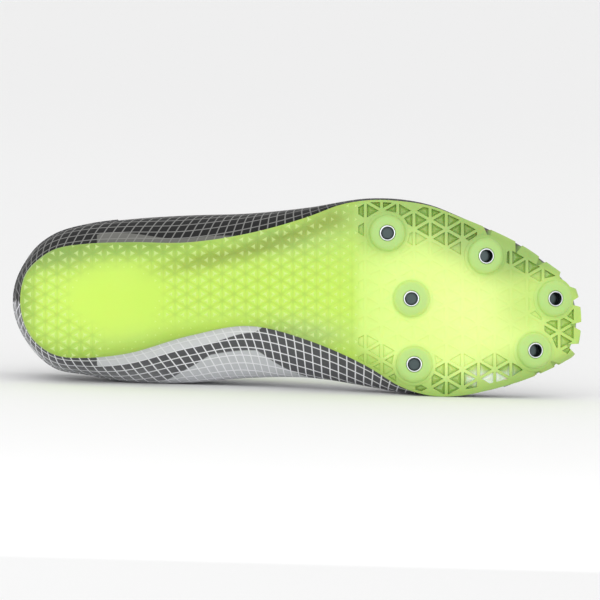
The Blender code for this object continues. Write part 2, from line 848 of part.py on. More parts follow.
def make_insole(collection, material):
    rings = []
    for share in round_shares(26):
        inset = INSOLE_INSET + (TOE_FEATHER_INSET - FEATHER_INSET) * float(blend(0.80, 0.95, share))
        a = inset_line(share, -1, inset)
        b = inset_line(share, 1, inset)
        ring = []
        for s, lift in ((0.0, 0.0), (0.5, 0.0), (1.0, 0.0), (1.0, 1.0), (0.5, 1.0), (0.0, 1.0)):
            x = a[0] + (b[0] - a[0]) * s
            y = a[1] + (b[1] - a[1]) * s
            z = float(plate_top(x)) + GAP + lift * INSOLE_THICK
            ring.append(np.array([x, y, z]))
        rings.append(ring)
    points, faces = loft(rings, False)
    return add_mesh("insole", points, faces, collection, material)


def tongue_line(share):
    """The tongue's outer line across the shoe, tucked under both eyestays."""
    drop = WALL + TONGUE_CLEAR
    line = []
    for side, ups in ((-1, (0.86, 0.91, 0.96)), (1, (0.96, 0.91, 0.86))):
        part = []
        for up in ups:
            here = min(share, THROAT_SHARE - 0.002)
            part.append(wall(share, side, up) - wall_normal(here if up > 0.99 else share, side, up) * drop)
        if side > 0:
            for across in (0.0, 0.25, 0.5, 0.75, 1.0):
                left = bridge(share, max(across - 0.02, 0.0)) if share < THROAT_SHARE else None
                if left is None:
                    break
                point = bridge(share, across)
                run = bridge(share, min(across + 0.02, 1.0)) - left
                along = edge(share + 0.01, 1) - edge(share - 0.01, 1)
                normal = unit(np.cross(along, run))
                if normal[2] < 0:
                    normal = -normal
                line.append(point - normal * drop)
            if share >= THROAT_SHARE:
                ridge = edge(share, 1)
                for _ in range(5):
                    line.append(ridge - np.array([0.05, 0.0, 1.0]) * drop)
        line += part
    return line


def make_tongue(collection, material):
    """Under the vamp, up the throat, then on past the top eyelets."""
    rows = []
    for share in (0.672, 0.64, 0.60, 0.55, 0.50, 0.45, 0.40, 0.355):
        rows.append(np.array(tongue_line(share)))
    last = rows[-1]
    run = unit(last[len(last) // 2] - rows[-2][len(last) // 2])
    rise = np.array([-0.50, 0.0, 0.87])
    for far, keep in ((0.30, 0.72), (0.65, 0.74), (1.0, 0.60)):
        way = run * (1 - 0.6 * far * far) + rise * 0.6 * far * far
        row = last + way * TONGUE_RUN * far
        centre = row[len(row) // 2]
        row = centre + (row - centre) * np.array([1.0, keep, 1.0])
        rows.append(row)
    grid = np.array(rows)
    count_i, count_j = grid.shape[:2]
    points = grid.reshape(-1, 3)
    faces = []
    for i in range(count_i - 1):
        for j in range(count_j - 1):
            a = i * count_j + j
            faces.append((a, a + 1, a + 1 + count_j, a + count_j))
    normals = point_normals(points, faces)
    if normals[:, 2].mean() < 0:
        normals = -normals
    back = points - normals * TONGUE_THICK
    count = len(points)
    uses = {}
    for face in faces:
        for a, b in zip(face, face[1:] + face[:1]):
            uses.setdefault(frozenset((a, b)), []).append((a, b))
    whole = list(faces) + [tuple(i + count for i in reversed(face)) for face in faces]
    for pairs in uses.values():
        if len(pairs) == 1:
            a, b = pairs[0]
            whole.append((b, a, a + count, b + count))
    return add_mesh("tongue", np.vstack([points, back]), whole, collection, material)


def eyelet_shares():
    step = (EYELET_LAST - EYELET_FIRST) / (EYELET_PAIRS - 1)
    return [EYELET_FIRST + step * k for k in range(EYELET_PAIRS)]


def cut_eyelets(upper, collection):
    for k, share in enumerate(eyelet_shares()):
        for side in (-1, 1):
            place = wall(share, side, EYELET_UP)
            normal = wall_normal(share, side, EYELET_UP)
            quaternion = Vector(normal).to_track_quat("Z", "Y")
            turn = Matrix.Translation(Vector(place)) @ quaternion.to_matrix().to_4x4()
            reach = 2.0 * EYELET_RADIUS
            rise = ((0.0, -reach), (EYELET_RADIUS, -reach),
                    (EYELET_RADIUS, reach), (0.0, reach))
            points, faces = revolve(rise, 10, turn)
            name = "eyelet_%d_%s" % (k + 1, "medial" if side > 0 else "lateral")
            cutter = add_mesh(name, points, faces, collection)
            boolean(upper, cutter, "DIFFERENCE")


def over_instep(share_from, share_to, side_from, lift):
    """Path of a lace from one eyelet over the tongue to the eyelet opposite."""
    path = []
    normals = []
    steps = ((0.0, "a", EYELET_UP), (0.10, "a", 0.96), (0.20, "b", 0.0), (0.35, "b", 0.25),
             (0.5, "b", 0.5), (0.65, "b", 0.75), (0.80, "b", 1.0), (0.90, "c", 0.96),
             (1.0, "c", EYELET_UP))
    for s, kind, value in steps:
        share = share_from + (share_to - share_from) * s
        if kind == "b":
            across = value if side_from < 0 else 1.0 - value
            point = bridge(share, across)
            run = bridge(share, min(across + 0.02, 1.0)) - bridge(share, max(across - 0.02, 0.0))
            along = edge(share + 0.01, 1) - edge(share - 0.01, 1)
            normal = unit(np.cross(along, run))
            if normal[2] < 0:
                normal = -normal
        else:
            side = side_from if kind == "a" else -side_from
            point = wall(share, side, value)
            normal = wall_normal(share, side, value)
        path.append(point + normal * lift)
        normals.append(normal)
    return path, normals


def lace_strip(name, path, normals, collection, material=None):
    rings = []
    for i, (point, normal) in enumerate(zip(path, normals)):
        a = path[max(i - 1, 0)]
        b = path[min(i + 1, len(path) - 1)]
        run = unit(b - a)
        side = unit(np.cross(run, normal))
        top = unit(np.cross(side, run))
        ring = []
        for u, v in ((-1, -1), (1, -1), (1, 1), (-1, 1)):
            ring.append(point + side * u * LACE_WIDTH / 2 + top * v * LACE_THICK / 2)
        rings.append(ring)
    points, faces = loft(rings, True)
    return add_mesh(name, points, faces, collection, material)


def make_laces(collection, cutters, material):
    """All crossings joined to one body, each end stopping at its eyelet."""
    shares = eyelet_shares()
    lift = OVERLAY + 1.5 * GAP + LACE_THICK / 2
    path, normals = over_instep(shares[-1], shares[-1], -1, lift)
    laces = lace_strip("laces", path, normals, collection, material)
    for k in range(EYELET_PAIRS - 1):
        for side in (-1, 1):
            above = LACE_STACK * ((1 + side) / 2 + 0.43 * (k % 2))
            path, normals = over_instep(shares[k], shares[k + 1], side, lift + above)
            other = lace_strip("lace_%d_%d" % (k + 1, side + 2), path, normals, cutters)
            boolean(laces, other, "UNION")
    tidy(laces, 0.0)
    laces.data.materials.clear()
    laces.data.materials.append(material)


def solid_centre(thing):
    """Volume and centre of a closed mesh."""
    mesh = thing.data
    mesh.calc_loop_triangles()
    points = np.array([v.co for v in mesh.vertices])
    tris = np.array([t.vertices for t in mesh.loop_triangles])
    a, b, c = points[tris[:, 0]], points[tris[:, 1]], points[tris[:, 2]]
    parts = np.einsum("ij,ij->i", a, np.cross(b, c)) / 6.0
    volume = parts.sum()
    centre = (parts[:, None] * (a + b + c) / 4.0).sum(axis=0) / volume
    return volume, centre


def down_from(roll, sway):
    """Direction of the floor for a roll towards the upper and a sway towards the toe."""
    return np.array([math.sin(sway) * math.cos(roll), math.cos(sway) * math.cos(roll),
                     math.sin(roll)])


def best_sway(points, centre, roll):
    """Lowest height of the centre over the floor for this roll, and its sway."""
    low = math.radians(-8.0)
    high = math.radians(8.0)
    for _ in range(40):
        a = low + (high - low) / 3.0
        b = high - (high - low) / 3.0
        if np.max((points - centre) @ down_from(roll, a)) < np.max(
                (points - centre) @ down_from(roll, b)):
            high = b
        else:
            low = a
    sway = 0.5 * (low + high)
    return np.max((points - centre) @ down_from(roll, sway)), sway


def settle(points, centre):
    """Let the shoe roll from flat on its medial side until its centre stops sinking."""
    roll = 0.0
    height, sway = best_sway(points, centre, roll)
    step = math.radians(0.4)
    while step > math.radians(0.002):
        for turn in (step, -step):
            lower, lean = best_sway(points, centre, roll + turn)
            if lower < height - 1e-10:
                height = lower
                roll += turn
                sway = lean
                break
        else:
            step *= 0.4
    return roll, sway


def rest_on_medial_side(things):
    """Turn that lays the shoe on its medial side, at rest, with the sole facing -Y."""
    mass = 0.0
    centre = np.zeros(3)
    points = []
    for thing in things:
        volume, middle = solid_centre(thing)
        weight = volume * DENSITY[thing.data.materials[0].name]
        mass += weight
        centre += weight * middle
        points += [vertex.co[:] for vertex in thing.data.vertices]
    roll, sway = settle(np.array(points), centre / mass)
    down = Vector(down_from(roll, sway))
    ahead = Vector((1.0, 0.0, 0.0))
    ahead = (ahead - down * ahead.dot(down)).normalized()
    back = down.cross(ahead)
    turn = Matrix((ahead, -back, -down))
    return turn.to_4x4(), mass


def main():
    for thing in list(bpy.data.objects):
        bpy.data.objects.remove(thing, do_unlink=True)
    shoe = bpy.data.collections.new("track_spike_shoe")
    cutters = bpy.data.collections.new("cutters")
    for collection in (shoe, cutters):
        bpy.context.scene.collection.children.link(collection)
    slots = {name: make_material(name) for name in MATERIALS}
    make_outsole(shoe, cutters, slots["tpu_plate"])
    make_sockets(shoe, slots["socket_steel"])
    upper = make_upper(shoe, slots["ripstop"])
    cut_eyelets(upper, cutters)
    tidy(upper)
    upper.data.materials.clear()
    upper.data.materials.append(slots["ripstop"])
    make_insole(shoe, slots["insole_foam"])
    make_tongue(shoe, slots["tongue_mesh"])
    make_laces(shoe, cutters, slots["lace_cord"])
    for cutter in cutters.objects:
        cutter.hide_render = True
        cutter.display_type = "WIRE"
    things = [thing for thing in shoe.objects if thing.type == "MESH"]
    turn, mass = rest_on_medial_side(things)
    corners = np.array([turn @ v.co for thing in things for v in thing.data.vertices])
    low = corners.min(axis=0)
    high = corners.max(axis=0)
    shift = Vector((-(low[0] + high[0]) / 2.0, -(low[1] + high[1]) / 2.0, -low[2]))
    stand = bpy.data.objects.new("on_its_side", None)
    shoe.objects.link(stand)
    stand.matrix_world = Matrix.Translation(shift) @ turn
    for thing in things:
        thing.parent = stand
    print("mass", round(mass, 4), "size", [round(float(v) * 1000, 1) for v in high - low])


main()
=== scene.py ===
"""Finished look of the track spike shoe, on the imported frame.

The shoe's tables and its shape functions come first, in its own frame: X from heel to toe,
+Y medial, Z up from the sole. Each finished piece is made there, then carried into the
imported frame, where the shoe lies on its medial side with its sole facing the camera.
"""
import json
import math

import bmesh
import bpy
import numpy as np
from mathutils import Matrix, Vector

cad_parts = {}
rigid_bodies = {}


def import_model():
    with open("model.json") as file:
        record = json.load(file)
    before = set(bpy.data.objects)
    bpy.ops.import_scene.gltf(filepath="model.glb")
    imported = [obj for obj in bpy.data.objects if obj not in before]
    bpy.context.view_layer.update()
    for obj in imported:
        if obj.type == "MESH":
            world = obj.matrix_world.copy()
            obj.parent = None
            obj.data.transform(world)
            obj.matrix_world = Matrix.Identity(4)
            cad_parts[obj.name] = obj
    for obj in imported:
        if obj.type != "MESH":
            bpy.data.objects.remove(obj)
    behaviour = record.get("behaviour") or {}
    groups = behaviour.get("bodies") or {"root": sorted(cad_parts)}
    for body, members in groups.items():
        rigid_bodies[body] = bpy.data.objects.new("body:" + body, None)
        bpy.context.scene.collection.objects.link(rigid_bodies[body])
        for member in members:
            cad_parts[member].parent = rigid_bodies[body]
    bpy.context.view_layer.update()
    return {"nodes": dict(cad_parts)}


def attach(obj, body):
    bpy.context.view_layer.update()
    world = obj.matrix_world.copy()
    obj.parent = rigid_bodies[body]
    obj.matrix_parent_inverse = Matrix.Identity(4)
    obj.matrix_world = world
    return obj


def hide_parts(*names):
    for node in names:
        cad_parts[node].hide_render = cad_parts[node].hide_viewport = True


MM = 0.001

# Leading sizes
LENGTH = 280.0 * MM
BALL_WIDTH = 95.9 * MM
INSTEP = 80.0 * MM
TOE_SPRING = 20.4 * MM
PLATE_THICK = 4.4 * MM
GAP = 0.3 * MM

# Where each long line starts and ends along the shoe
SOLE_START = 0.0121 * LENGTH
SOLE_END = 1.0 * LENGTH
GIRTH_START = 0.0 * LENGTH
GIRTH_END = 0.990 * LENGTH
EDGE_START = 0.0179 * LENGTH
EDGE_END = 0.983 * LENGTH
THROAT_SHARE = 0.675

# Upper
WALL = 1.6 * MM
COLLAR_PAD = 2.6 * MM
OVERLAY = 0.5 * MM
FOOT_FULL = 0.42
GIRTH_FULL = 0.46
RIDGE_FULL = 0.56
EDGE_FULL = 0.46
BRIDGE_FULL = 0.36

# Plate
FEATHER_INSET = 1.2 * MM
TOE_FEATHER_INSET = 4.4 * MM
FEATHER_GAP = 0.42 * MM

# Bosses and spike sockets
BOSS_RADIUS = 9.0 * MM
BOSS_FACE_RADIUS = 6.3 * MM
BOSS_HEIGHT = 2.8 * MM
SOCKET_RADIUS = 3.85 * MM
SOCKET_MOUTH = 3.1 * MM
SOCKET_DEPTH = 5.2 * MM
SOCKET_BORE = 4.4 * MM
SOCKET_SINK = 0.15 * MM
SOCKET_CHAMFER = 0.5 * MM
SOCKET_SIDES = 12

# Truss pockets of the forefoot
TRUSS_EDGE = 9.2 * MM
TRUSS_RIB = 1.7 * MM
TRUSS_DEPTH = 1.3 * MM
TRUSS_START = 0.600
TRUSS_ORIGIN_X = 0.7614 * LENGTH
TRUSS_ORIGIN_Y = -0.3577 * BALL_WIDTH
TRUSS_LAST = 0.985
RIM_POCKET = 1.2 * MM
NOTCH_POCKET = 1.9 * MM
BOSS_POCKET = 1.7 * MM
LEAST_POCKET = 0.22
FAINT_POCKET = 0.09

# Insole, tongue and laces
INSOLE_THICK = 2.0 * MM
INSOLE_INSET = 2.9 * MM
TONGUE_THICK = 2.4 * MM
TONGUE_CLEAR = 1.1 * MM
TONGUE_RUN = 25.0 * MM
LACE_WIDTH = 5.0 * MM
LACE_THICK = 1.2 * MM
LACE_STACK = 0.35 * MM
EYELET_RADIUS = 2.0 * MM
EYELET_PAIRS = 6
EYELET_FIRST = 0.362
EYELET_LAST = 0.640
EYELET_UP = 0.905

# Outline of the sole, heel to toe, as shares of the ball width
SOLE_NAMES = ("share", "lateral", "medial")
SOLE_ROWS = (
    (0.000, -0.006, 0.006),
    (0.007, 0.113, 0.128),
    (0.029, 0.195, 0.226),
    (0.063, 0.257, 0.288),
    (0.116, 0.283, 0.302),
    (0.196, 0.292, 0.277),
    (0.303, 0.292, 0.188),
    (0.409, 0.339, 0.139),
    (0.516, 0.426, 0.216),
    (0.569, 0.483, 0.277),
    (0.623, 0.508, 0.355),
    (0.677, 0.503, 0.450),
    (0.730, 0.478, 0.496),
    (0.783, 0.421, 0.497),
    (0.836, 0.359, 0.467),
    (0.890, 0.283, 0.424),
    (0.943, 0.180, 0.362),
    (0.970, 0.122, 0.322),
    (0.990, 0.056, 0.277),
    (1.000, -0.107, 0.107),
)

# Rounding of the plate's edge: rise of the underside, by half width and plate thickness
RIM_NAMES = ("across", "rise")
RIM_ROWS = (
    (0.780, 0.00),
    (0.910, 0.15),
    (0.965, 0.34),
    (1.000, 0.62),
)

# Profile of the plate: underside as a share of the toe spring, thickness of the plate
PROFILE_NAMES = ("share", "under", "thick")
PROFILE_ROWS = (
    (0.00, 0.160, 0.70),
    (0.04, 0.035, 0.93),
    (0.08, 0.000, 1.00),
    (0.21, 0.000, 1.00),
    (0.30, 0.085, 0.90),
    (0.39, 0.205, 0.77),
    (0.47, 0.250, 0.73),
    (0.55, 0.215, 0.73),
    (0.62, 0.150, 0.77),
    (0.68, 0.137, 0.80),
    (0.74, 0.155, 0.80),
    (0.80, 0.270, 0.77),
    (0.86, 0.455, 0.73),
    (0.92, 0.705, 0.70),
    (0.97, 0.960, 0.67),
    (1.00, 1.140, 0.60),
)

# Widest line of the upper: half widths by the ball width, height by the instep
GIRTH_NAMES = ("share", "lateral", "medial", "height", "lift")
GIRTH_ROWS = (
    (0.000, -0.005, 0.005, 0.275, 62.0),
    (0.020, 0.182, 0.197, 0.275, 60.0),
    (0.041, 0.264, 0.279, 0.275, 58.0),
    (0.075, 0.334, 0.354, 0.280, 54.0),
    (0.128, 0.380, 0.385, 0.295, 48.0),
    (0.208, 0.411, 0.426, 0.320, 44.0),
    (0.315, 0.431, 0.431, 0.360, 36.0),
    (0.421, 0.441, 0.406, 0.370, 32.0),
    (0.528, 0.472, 0.406, 0.330, 40.0),
    (0.634, 0.518, 0.452, 0.260, 58.0),
    (0.688, 0.513, 0.480, 0.230, 68.0),
    (0.741, 0.484, 0.491, 0.235, 72.0),
    (0.795, 0.422, 0.486, 0.255, 72.0),
    (0.848, 0.354, 0.468, 0.290, 72.0),
    (0.901, 0.270, 0.416, 0.335, 70.0),
    (0.954, 0.160, 0.340, 0.385, 68.0),
    (0.985, 0.060, 0.250, 0.410, 66.0),
    (1.000, -0.107, 0.107, 0.418, 64.0),
)

# Top line of the upper: the collar, the throat, then the ridge of the vamp
EDGE_NAMES = ("share", "centre", "height", "turn")
EDGE_ROWS = (
    (0.00, 0.005, 0.900, 4.0),
    (0.06, 0.006, 0.880, 6.0),
    (0.13, 0.010, 0.800, 9.0),
    (0.20, 0.012, 0.730, 12.0),
    (0.27, 0.014, 0.780, 24.0),
    (0.34, 0.016, 0.955, 46.0),
    (0.42, 0.018, 0.920, 54.0),
    (0.50, 0.020, 0.835, 60.0),
    (0.58, 0.024, 0.740, 66.0),
    (0.64, 0.030, 0.672, 76.0),
    (0.70, 0.036, 0.622, 90.0),
    (0.78, 0.050, 0.566, 90.0),
    (0.86, 0.068, 0.524, 90.0),
    (0.93, 0.088, 0.494, 90.0),
    (0.98, 0.102, 0.462, 84.0),
    (1.00, 0.107, 0.440, 60.0),
)

# Half width of the opening from the back of the collar to the foot of the throat
OPENING_NAMES = ("share", "half")
OPENING_ROWS = (
    (0.00, 0.000),
    (0.03, 0.150),
    (0.09, 0.235),
    (0.19, 0.300),
    (0.30, 0.325),
    (0.40, 0.300),
    (0.51, 0.218),
    (0.62, 0.186),
    (0.74, 0.166),
    (0.86, 0.140),
    (0.95, 0.095),
    (1.00, 0.000),
)

# Spike sockets: name, place by length and ball width, and the lean of the sole there
SPIKE_ROWS = (
    ("ball_lateral", 0.658, -0.339, 0.0),
    ("ball_centre", 0.700, -0.002, 0.0),
    ("ball_medial", 0.705, 0.335, 0.0),
    ("toe_lateral", 0.830, -0.221, 13.0),
    ("toe_tip", 0.951, -0.002, 21.0),
    ("toe_medial", 0.916, 0.264, 18.5),
)

# Notches in the toe edge: along, across, then width and depth as shares of one notch
NOTCH_ROWS = (
    (0.836, -0.362, 1.10, 0.35),
    (0.890, -0.284, 1.10, 0.45),
    (0.931, -0.205, 1.10, 0.60),
    (0.970, -0.105, 1.85, 0.75),
    (0.994, 0.016, 0.85, 1.15),
    (0.998, 0.139, 0.80, 1.15),
    (0.988, 0.251, 0.85, 1.10),
    (0.958, 0.349, 0.55, 0.80),
    (0.925, 0.390, 0.50, 0.65),
)
TOE_CENTRE_X = 0.843 * LENGTH
TOE_CENTRE_Y = 0.083 * BALL_WIDTH
NOTCH_WIDTH = 4.0 * MM
NOTCH_DEPTH = 2.0 * MM
NOTCH_REACH = 3.0
NOTCH_INNER = 0.32
NOTCH_OUTER = 1.4
GROOVE_REACH = 5.2 * MM
GROOVE_WIDTH = 5.4 * MM
GROOVE_DEPTH = 1.1 * MM

# Overlays that stand out of the wall: name, start and end along, low and high up the wall
OVERLAY_ROWS = (
    ("heel_counter", -1.0, 0.185, 0.30, 0.66),
    ("eyestay", 0.325, 0.702, 0.84, 1.10),
    ("toe_cap", 0.872, 2.0, -1.0, 1.10),
)

# Height of the wall's widest line, from 0 at the feather line to 1 at the top
GIRTH_UP = 0.30


def column(rows, names, name):
    return np.array([row[names.index(name)] for row in rows], float)


def smooth(knots, values, at, level=False):
    """Cubic through the knots, each slope taken from its two neighbours.

    With level set, the curve is level at every knot where it turns or stops.
    """
    step = np.diff(knots)
    rise = np.diff(values) / step
    slope = np.empty(len(knots))
    slope[1:-1] = (rise[:-1] * step[1:] + rise[1:] * step[:-1]) / (step[:-1] + step[1:])
    if level:
        slope[1:-1][rise[:-1] * rise[1:] <= 0.0] = 0.0
    slope[0] = 1.5 * rise[0] - 0.5 * slope[1]
    slope[-1] = 1.5 * rise[-1] - 0.5 * slope[-2]
    at = np.clip(np.asarray(at, float), knots[0], knots[-1])
    i = np.clip(np.searchsorted(knots, at, side="right") - 1, 0, len(step) - 1)
    s = (at - knots[i]) / step[i]
    a = values[i] * (1 + 2 * s) * (1 - s) ** 2
    b = values[i + 1] * s * s * (3 - 2 * s)
    c = slope[i] * step[i] * s * (1 - s) ** 2
    d = slope[i + 1] * step[i] * s * s * (s - 1)
    return a + b + c + d


def round_ends(share):
    """Angle whose use as the spline's knot closes an outline with a round end."""
    return np.arccos(1.0 - 2.0 * np.clip(np.asarray(share, float), 0.0, 1.0))


def outline(rows, names, name, share):
    knots = round_ends(column(rows, names, "share"))
    return smooth(knots, column(rows, names, name), round_ends(share))


def profile(rows, names, name, share):
    return smooth(column(rows, names, "share"), column(rows, names, name), share, True)


def under(x):
    """Height of the plate's underside on the centre line."""
    return TOE_SPRING * profile(PROFILE_ROWS, PROFILE_NAMES, "under", np.asarray(x) / LENGTH)


def plate_top(x):
    thick = profile(PROFILE_ROWS, PROFILE_NAMES, "thick", np.asarray(x) / LENGTH)
    return under(x) + PLATE_THICK * thick


def rim_lift(across):
    """Rise of the underside at this share of the half width, by the plate's thickness."""
    return np.interp(np.abs(across), column(RIM_ROWS, RIM_NAMES, "across"),
                     column(RIM_ROWS, RIM_NAMES, "rise"))


def sole_x(share):
    return SOLE_START + (SOLE_END - SOLE_START) * np.asarray(share, float)


def sole_y(share, side):
    name = "medial" if side > 0 else "lateral"
    return side * BALL_WIDTH * outline(SOLE_ROWS, SOLE_NAMES, name, share)


def sole_share(x):
    return (np.asarray(x) - SOLE_START) / (SOLE_END - SOLE_START)


def sole_edges(share):
    """Places of the sole's lateral and medial edge across the shoe."""
    return sole_y(share, -1), sole_y(share, 1)


def underside(x, y):
    """Height of the solid plate's underside at any point of the sole."""
    low, high = sole_edges(sole_share(x))
    across = 2.0 * (y - low) / max(high - low, MM) - 1.0
    thick = float(plate_top(x)) - float(under(x))
    return float(under(x)) + thick * float(rim_lift(across))


def blend(low, high, value):
    s = np.clip((np.asarray(value, float) - low) / (high - low), 0.0, 1.0)
    return s * s * (3 - 2 * s)


def unit(vector):
    length = np.linalg.norm(vector)
    return vector / length if length > 1e-12 else vector * 0.0


def inset_line(share, side, inset):
    """Point of the sole's outline moved square into the sole by the inset."""
    delta = 0.004
    low = max(share - delta, 0.0)
    high = min(share + delta, 1.0)
    if share <= 0.0:
        return np.array([sole_x(0.0) + inset, sole_y(0.0, side)])
    if share >= 1.0:
        return np.array([sole_x(1.0) - inset, sole_y(1.0, side)])
    run = np.array([sole_x(high) - sole_x(low), sole_y(high, side) - sole_y(low, side)])
    run = unit(run)
    inward = np.array([run[1], -run[0]]) * side
    return np.array([sole_x(share), sole_y(share, side)]) + inward * inset


def toe_inset(share):
    """How much further in the upper stands round the toe than along the sides."""
    return (TOE_FEATHER_INSET - FEATHER_INSET) * float(blend(0.80, 0.95, share))


def feather(share, side):
    x, y = inset_line(share, side, FEATHER_INSET + toe_inset(share))
    return np.array([x, y, float(plate_top(x)) + FEATHER_GAP])


def girth(share, side):
    name = "medial" if side > 0 else "lateral"
    x = GIRTH_START + (GIRTH_END - GIRTH_START) * share
    y = side * BALL_WIDTH * float(outline(GIRTH_ROWS, GIRTH_NAMES, name, share))
    z = INSTEP * float(profile(GIRTH_ROWS, GIRTH_NAMES, "height", share))
    return np.array([x, y, z])


def edge(share, side):
    x = EDGE_START + (EDGE_END - EDGE_START) * share
    y = BALL_WIDTH * float(profile(EDGE_ROWS, EDGE_NAMES, "centre", share))
    if share < THROAT_SHARE:
        half = outline(OPENING_ROWS, OPENING_NAMES, "half", share / THROAT_SHARE)
        y += side * BALL_WIDTH * float(half)
    z = INSTEP * float(profile(EDGE_ROWS, EDGE_NAMES, "height", share))
    return np.array([x, y, z])


def bezier(p0, p1, p2, p3, s):
    return p0 * (1 - s) ** 3 + p1 * 3 * s * (1 - s) ** 2 + p2 * 3 * s * s * (1 - s) + p3 * s ** 3


def wall(share, side, up):
    """Point of the upper's outer face: share along the shoe, up from feather to top line."""
    foot = feather(share, side)
    wide = girth(share, side)
    top = edge(share, side)
    vertical = np.array([0.0, 0.0, 1.0])
    if up <= GIRTH_UP:
        lift = math.radians(float(profile(GIRTH_ROWS, GIRTH_NAMES, "lift", share)))
        out = unit(np.array([wide[0] - foot[0], wide[1] - foot[1], 0.0]))
        reach = np.linalg.norm(wide - foot) * FOOT_FULL
        start = foot + (out * math.cos(lift) + vertical * math.sin(lift)) * reach
        end = wide - vertical * GIRTH_FULL * (wide[2] - foot[2])
        return bezier(foot, start, end, wide, up / GIRTH_UP)
    turn = math.radians(float(profile(EDGE_ROWS, EDGE_NAMES, "turn", share)))
    inward = unit(np.array([top[0] - wide[0], top[1] - wide[1], 0.0]))
    start = wide + vertical * RIDGE_FULL * (top[2] - wide[2])
    reach = np.linalg.norm(top - wide) * EDGE_FULL
    end = top - (inward * math.sin(turn) + vertical * math.cos(turn)) * reach
    return bezier(wide, start, end, top, (up - GIRTH_UP) / (1.0 - GIRTH_UP))


def bridge(share, across):
    """The instep's own line carried over the open throat, 0 lateral to 1 medial."""
    left = edge(share, -1)
    right = edge(share, 1)
    reach = np.linalg.norm(right - left) * BRIDGE_FULL
    a = left + unit(left - wall(share, -1, 0.97)) * reach
    b = right + unit(right - wall(share, 1, 0.97)) * reach
    return bezier(left, a, b, right, across)


def bridge_normal(share, across):
    """The way out of the instep over the open throat."""
    run = bridge(share, min(across + 0.02, 1.0)) - bridge(share, max(across - 0.02, 0.0))
    along = edge(share + 0.01, 1) - edge(share - 0.01, 1)
    normal = unit(np.cross(along, run))
    return -normal if normal[2] < 0 else normal


def wall_normal(share, side, up):
    d = 0.004
    lift = wall(share, side, min(up + d, 1.0)) - wall(share, side, up - d)
    run = wall(share + d, side, up) - wall(share - d, side, up)
    return unit(np.cross(run, lift)) * -side


def weld(points, faces, tolerance=1e-6):
    """Joins points that coincide, drops faces that vanish, and says which points were kept."""
    seen = {}
    index = []
    first = []
    for number, point in enumerate(points):
        key = tuple(np.round(np.asarray(point) / tolerance).astype(int))
        if key not in seen:
            seen[key] = len(first)
            first.append(number)
        index.append(seen[key])
    clean = []
    for face in faces:
        ring = []
        for i in face:
            j = index[i]
            if not ring or ring[-1] != j:
                ring.append(j)
        while len(ring) > 1 and ring[0] == ring[-1]:
            ring.pop()
        if len(set(ring)) >= 3 and len(set(ring)) == len(ring):
            clean.append(tuple(ring))
    return np.array([points[i] for i in first], float), clean, first


def point_normals(points, faces):
    normals = np.zeros_like(points)
    for face in faces:
        ring = points[list(face)]
        middle = ring.mean(axis=0)
        area = np.zeros(3)
        for a, b in zip(ring, np.roll(ring, -1, axis=0)):
            area += np.cross(a - middle, b - middle)
        for i in face:
            normals[i] += area
    lengths = np.linalg.norm(normals, axis=1)
    return normals / np.maximum(lengths, 1e-15)[:, None]


def plain_mesh(name, points, faces, collection, material=None):
    """A mesh on exactly these points and faces."""
    mesh = bpy.data.meshes.new(name)
    mesh.from_pydata([tuple(p) for p in points], [], faces)
    mesh.update()
    thing = bpy.data.objects.new(name, mesh)
    collection.objects.link(thing)
    if material:
        mesh.materials.append(material)
    return thing


def add_mesh(name, points, faces, collection, material=None):
    """A closed mesh with coinciding points joined and every face turned outwards."""
    thing = plain_mesh(name, points, faces, collection, material)
    work = bmesh.new()
    work.from_mesh(thing.data)
    bmesh.ops.remove_doubles(work, verts=work.verts, dist=1e-6)
    bmesh.ops.recalc_face_normals(work, faces=work.faces)
    if work.calc_volume(signed=True) < 0:
        bmesh.ops.reverse_faces(work, faces=work.faces)
    work.to_mesh(thing.data)
    work.free()
    return thing


def loft(rings):
    """Points and faces of a tube through equal rings of points, its ends left open."""
    count = len(rings[0])
    faces = []
    for i in range(len(rings) - 1):
        for j in range(count):
            k = (j + 1) % count
            faces.append((i * count + j, i * count + k, (i + 1) * count + k, (i + 1) * count + j))
    return weld([p for ring in rings for p in ring], faces)[:2]


def shell(front, back, faces):
    """Points and faces of a thin body: front faces, the same behind, and walls at open edges."""
    count = len(front)
    uses = {}
    for face in faces:
        for a, b in zip(face, face[1:] + face[:1]):
            uses.setdefault(frozenset((a, b)), []).append((a, b))
    whole = list(faces) + [tuple(k + count for k in reversed(face)) for face in faces]
    for pairs in uses.values():
        if len(pairs) == 1:
            a, b = pairs[0]
            whole.append((b, a, a + count, b + count))
    return np.vstack([front, back]), whole


def grid_faces(rows, columns, gap=None):
    """Faces between the points of a grid, with none from the column at the gap to the next."""
    faces = []
    for i in range(rows - 1):
        for j in range(columns - 1):
            if j != gap:
                a = i * columns + j
                faces.append((a, a + 1, a + 1 + columns, a + columns))
    return faces


def walked(line):
    """Distance walked along a line of points, at each of them."""
    return np.concatenate([[0.0], np.cumsum(np.linalg.norm(np.diff(line, axis=0), axis=1))])


def boolean(thing, cutter, operation):
    modifier = thing.modifiers.new(cutter.name, "BOOLEAN")
    modifier.object = cutter
    modifier.operation = operation
    modifier.solver = "EXACT"
    bpy.context.view_layer.update()
    graph = bpy.context.evaluated_depsgraph_get()
    mesh = bpy.data.meshes.new_from_object(thing.evaluated_get(graph))
    thing.modifiers.clear()
    old = thing.data
    thing.data = mesh
    mesh.name = old.name
    bpy.data.meshes.remove(old)


def round_shares(count):
    return [0.5 - 0.5 * math.cos(math.pi * i / count) for i in range(count + 1)]


def raised(share, up):
    """How far an overlay stands out of the wall here."""
    for _, start, end, low, high in OVERLAY_ROWS:
        if start <= share <= end and low <= up <= high:
            return OVERLAY
    return 0.0


def pad(share, up):
    """Extra wall on the inside of the collar, fading to the sides and below."""
    collar = 1.0 - float(blend(0.20, 0.30, share))
    return COLLAR_PAD * collar * float(blend(0.62, 0.80, up))


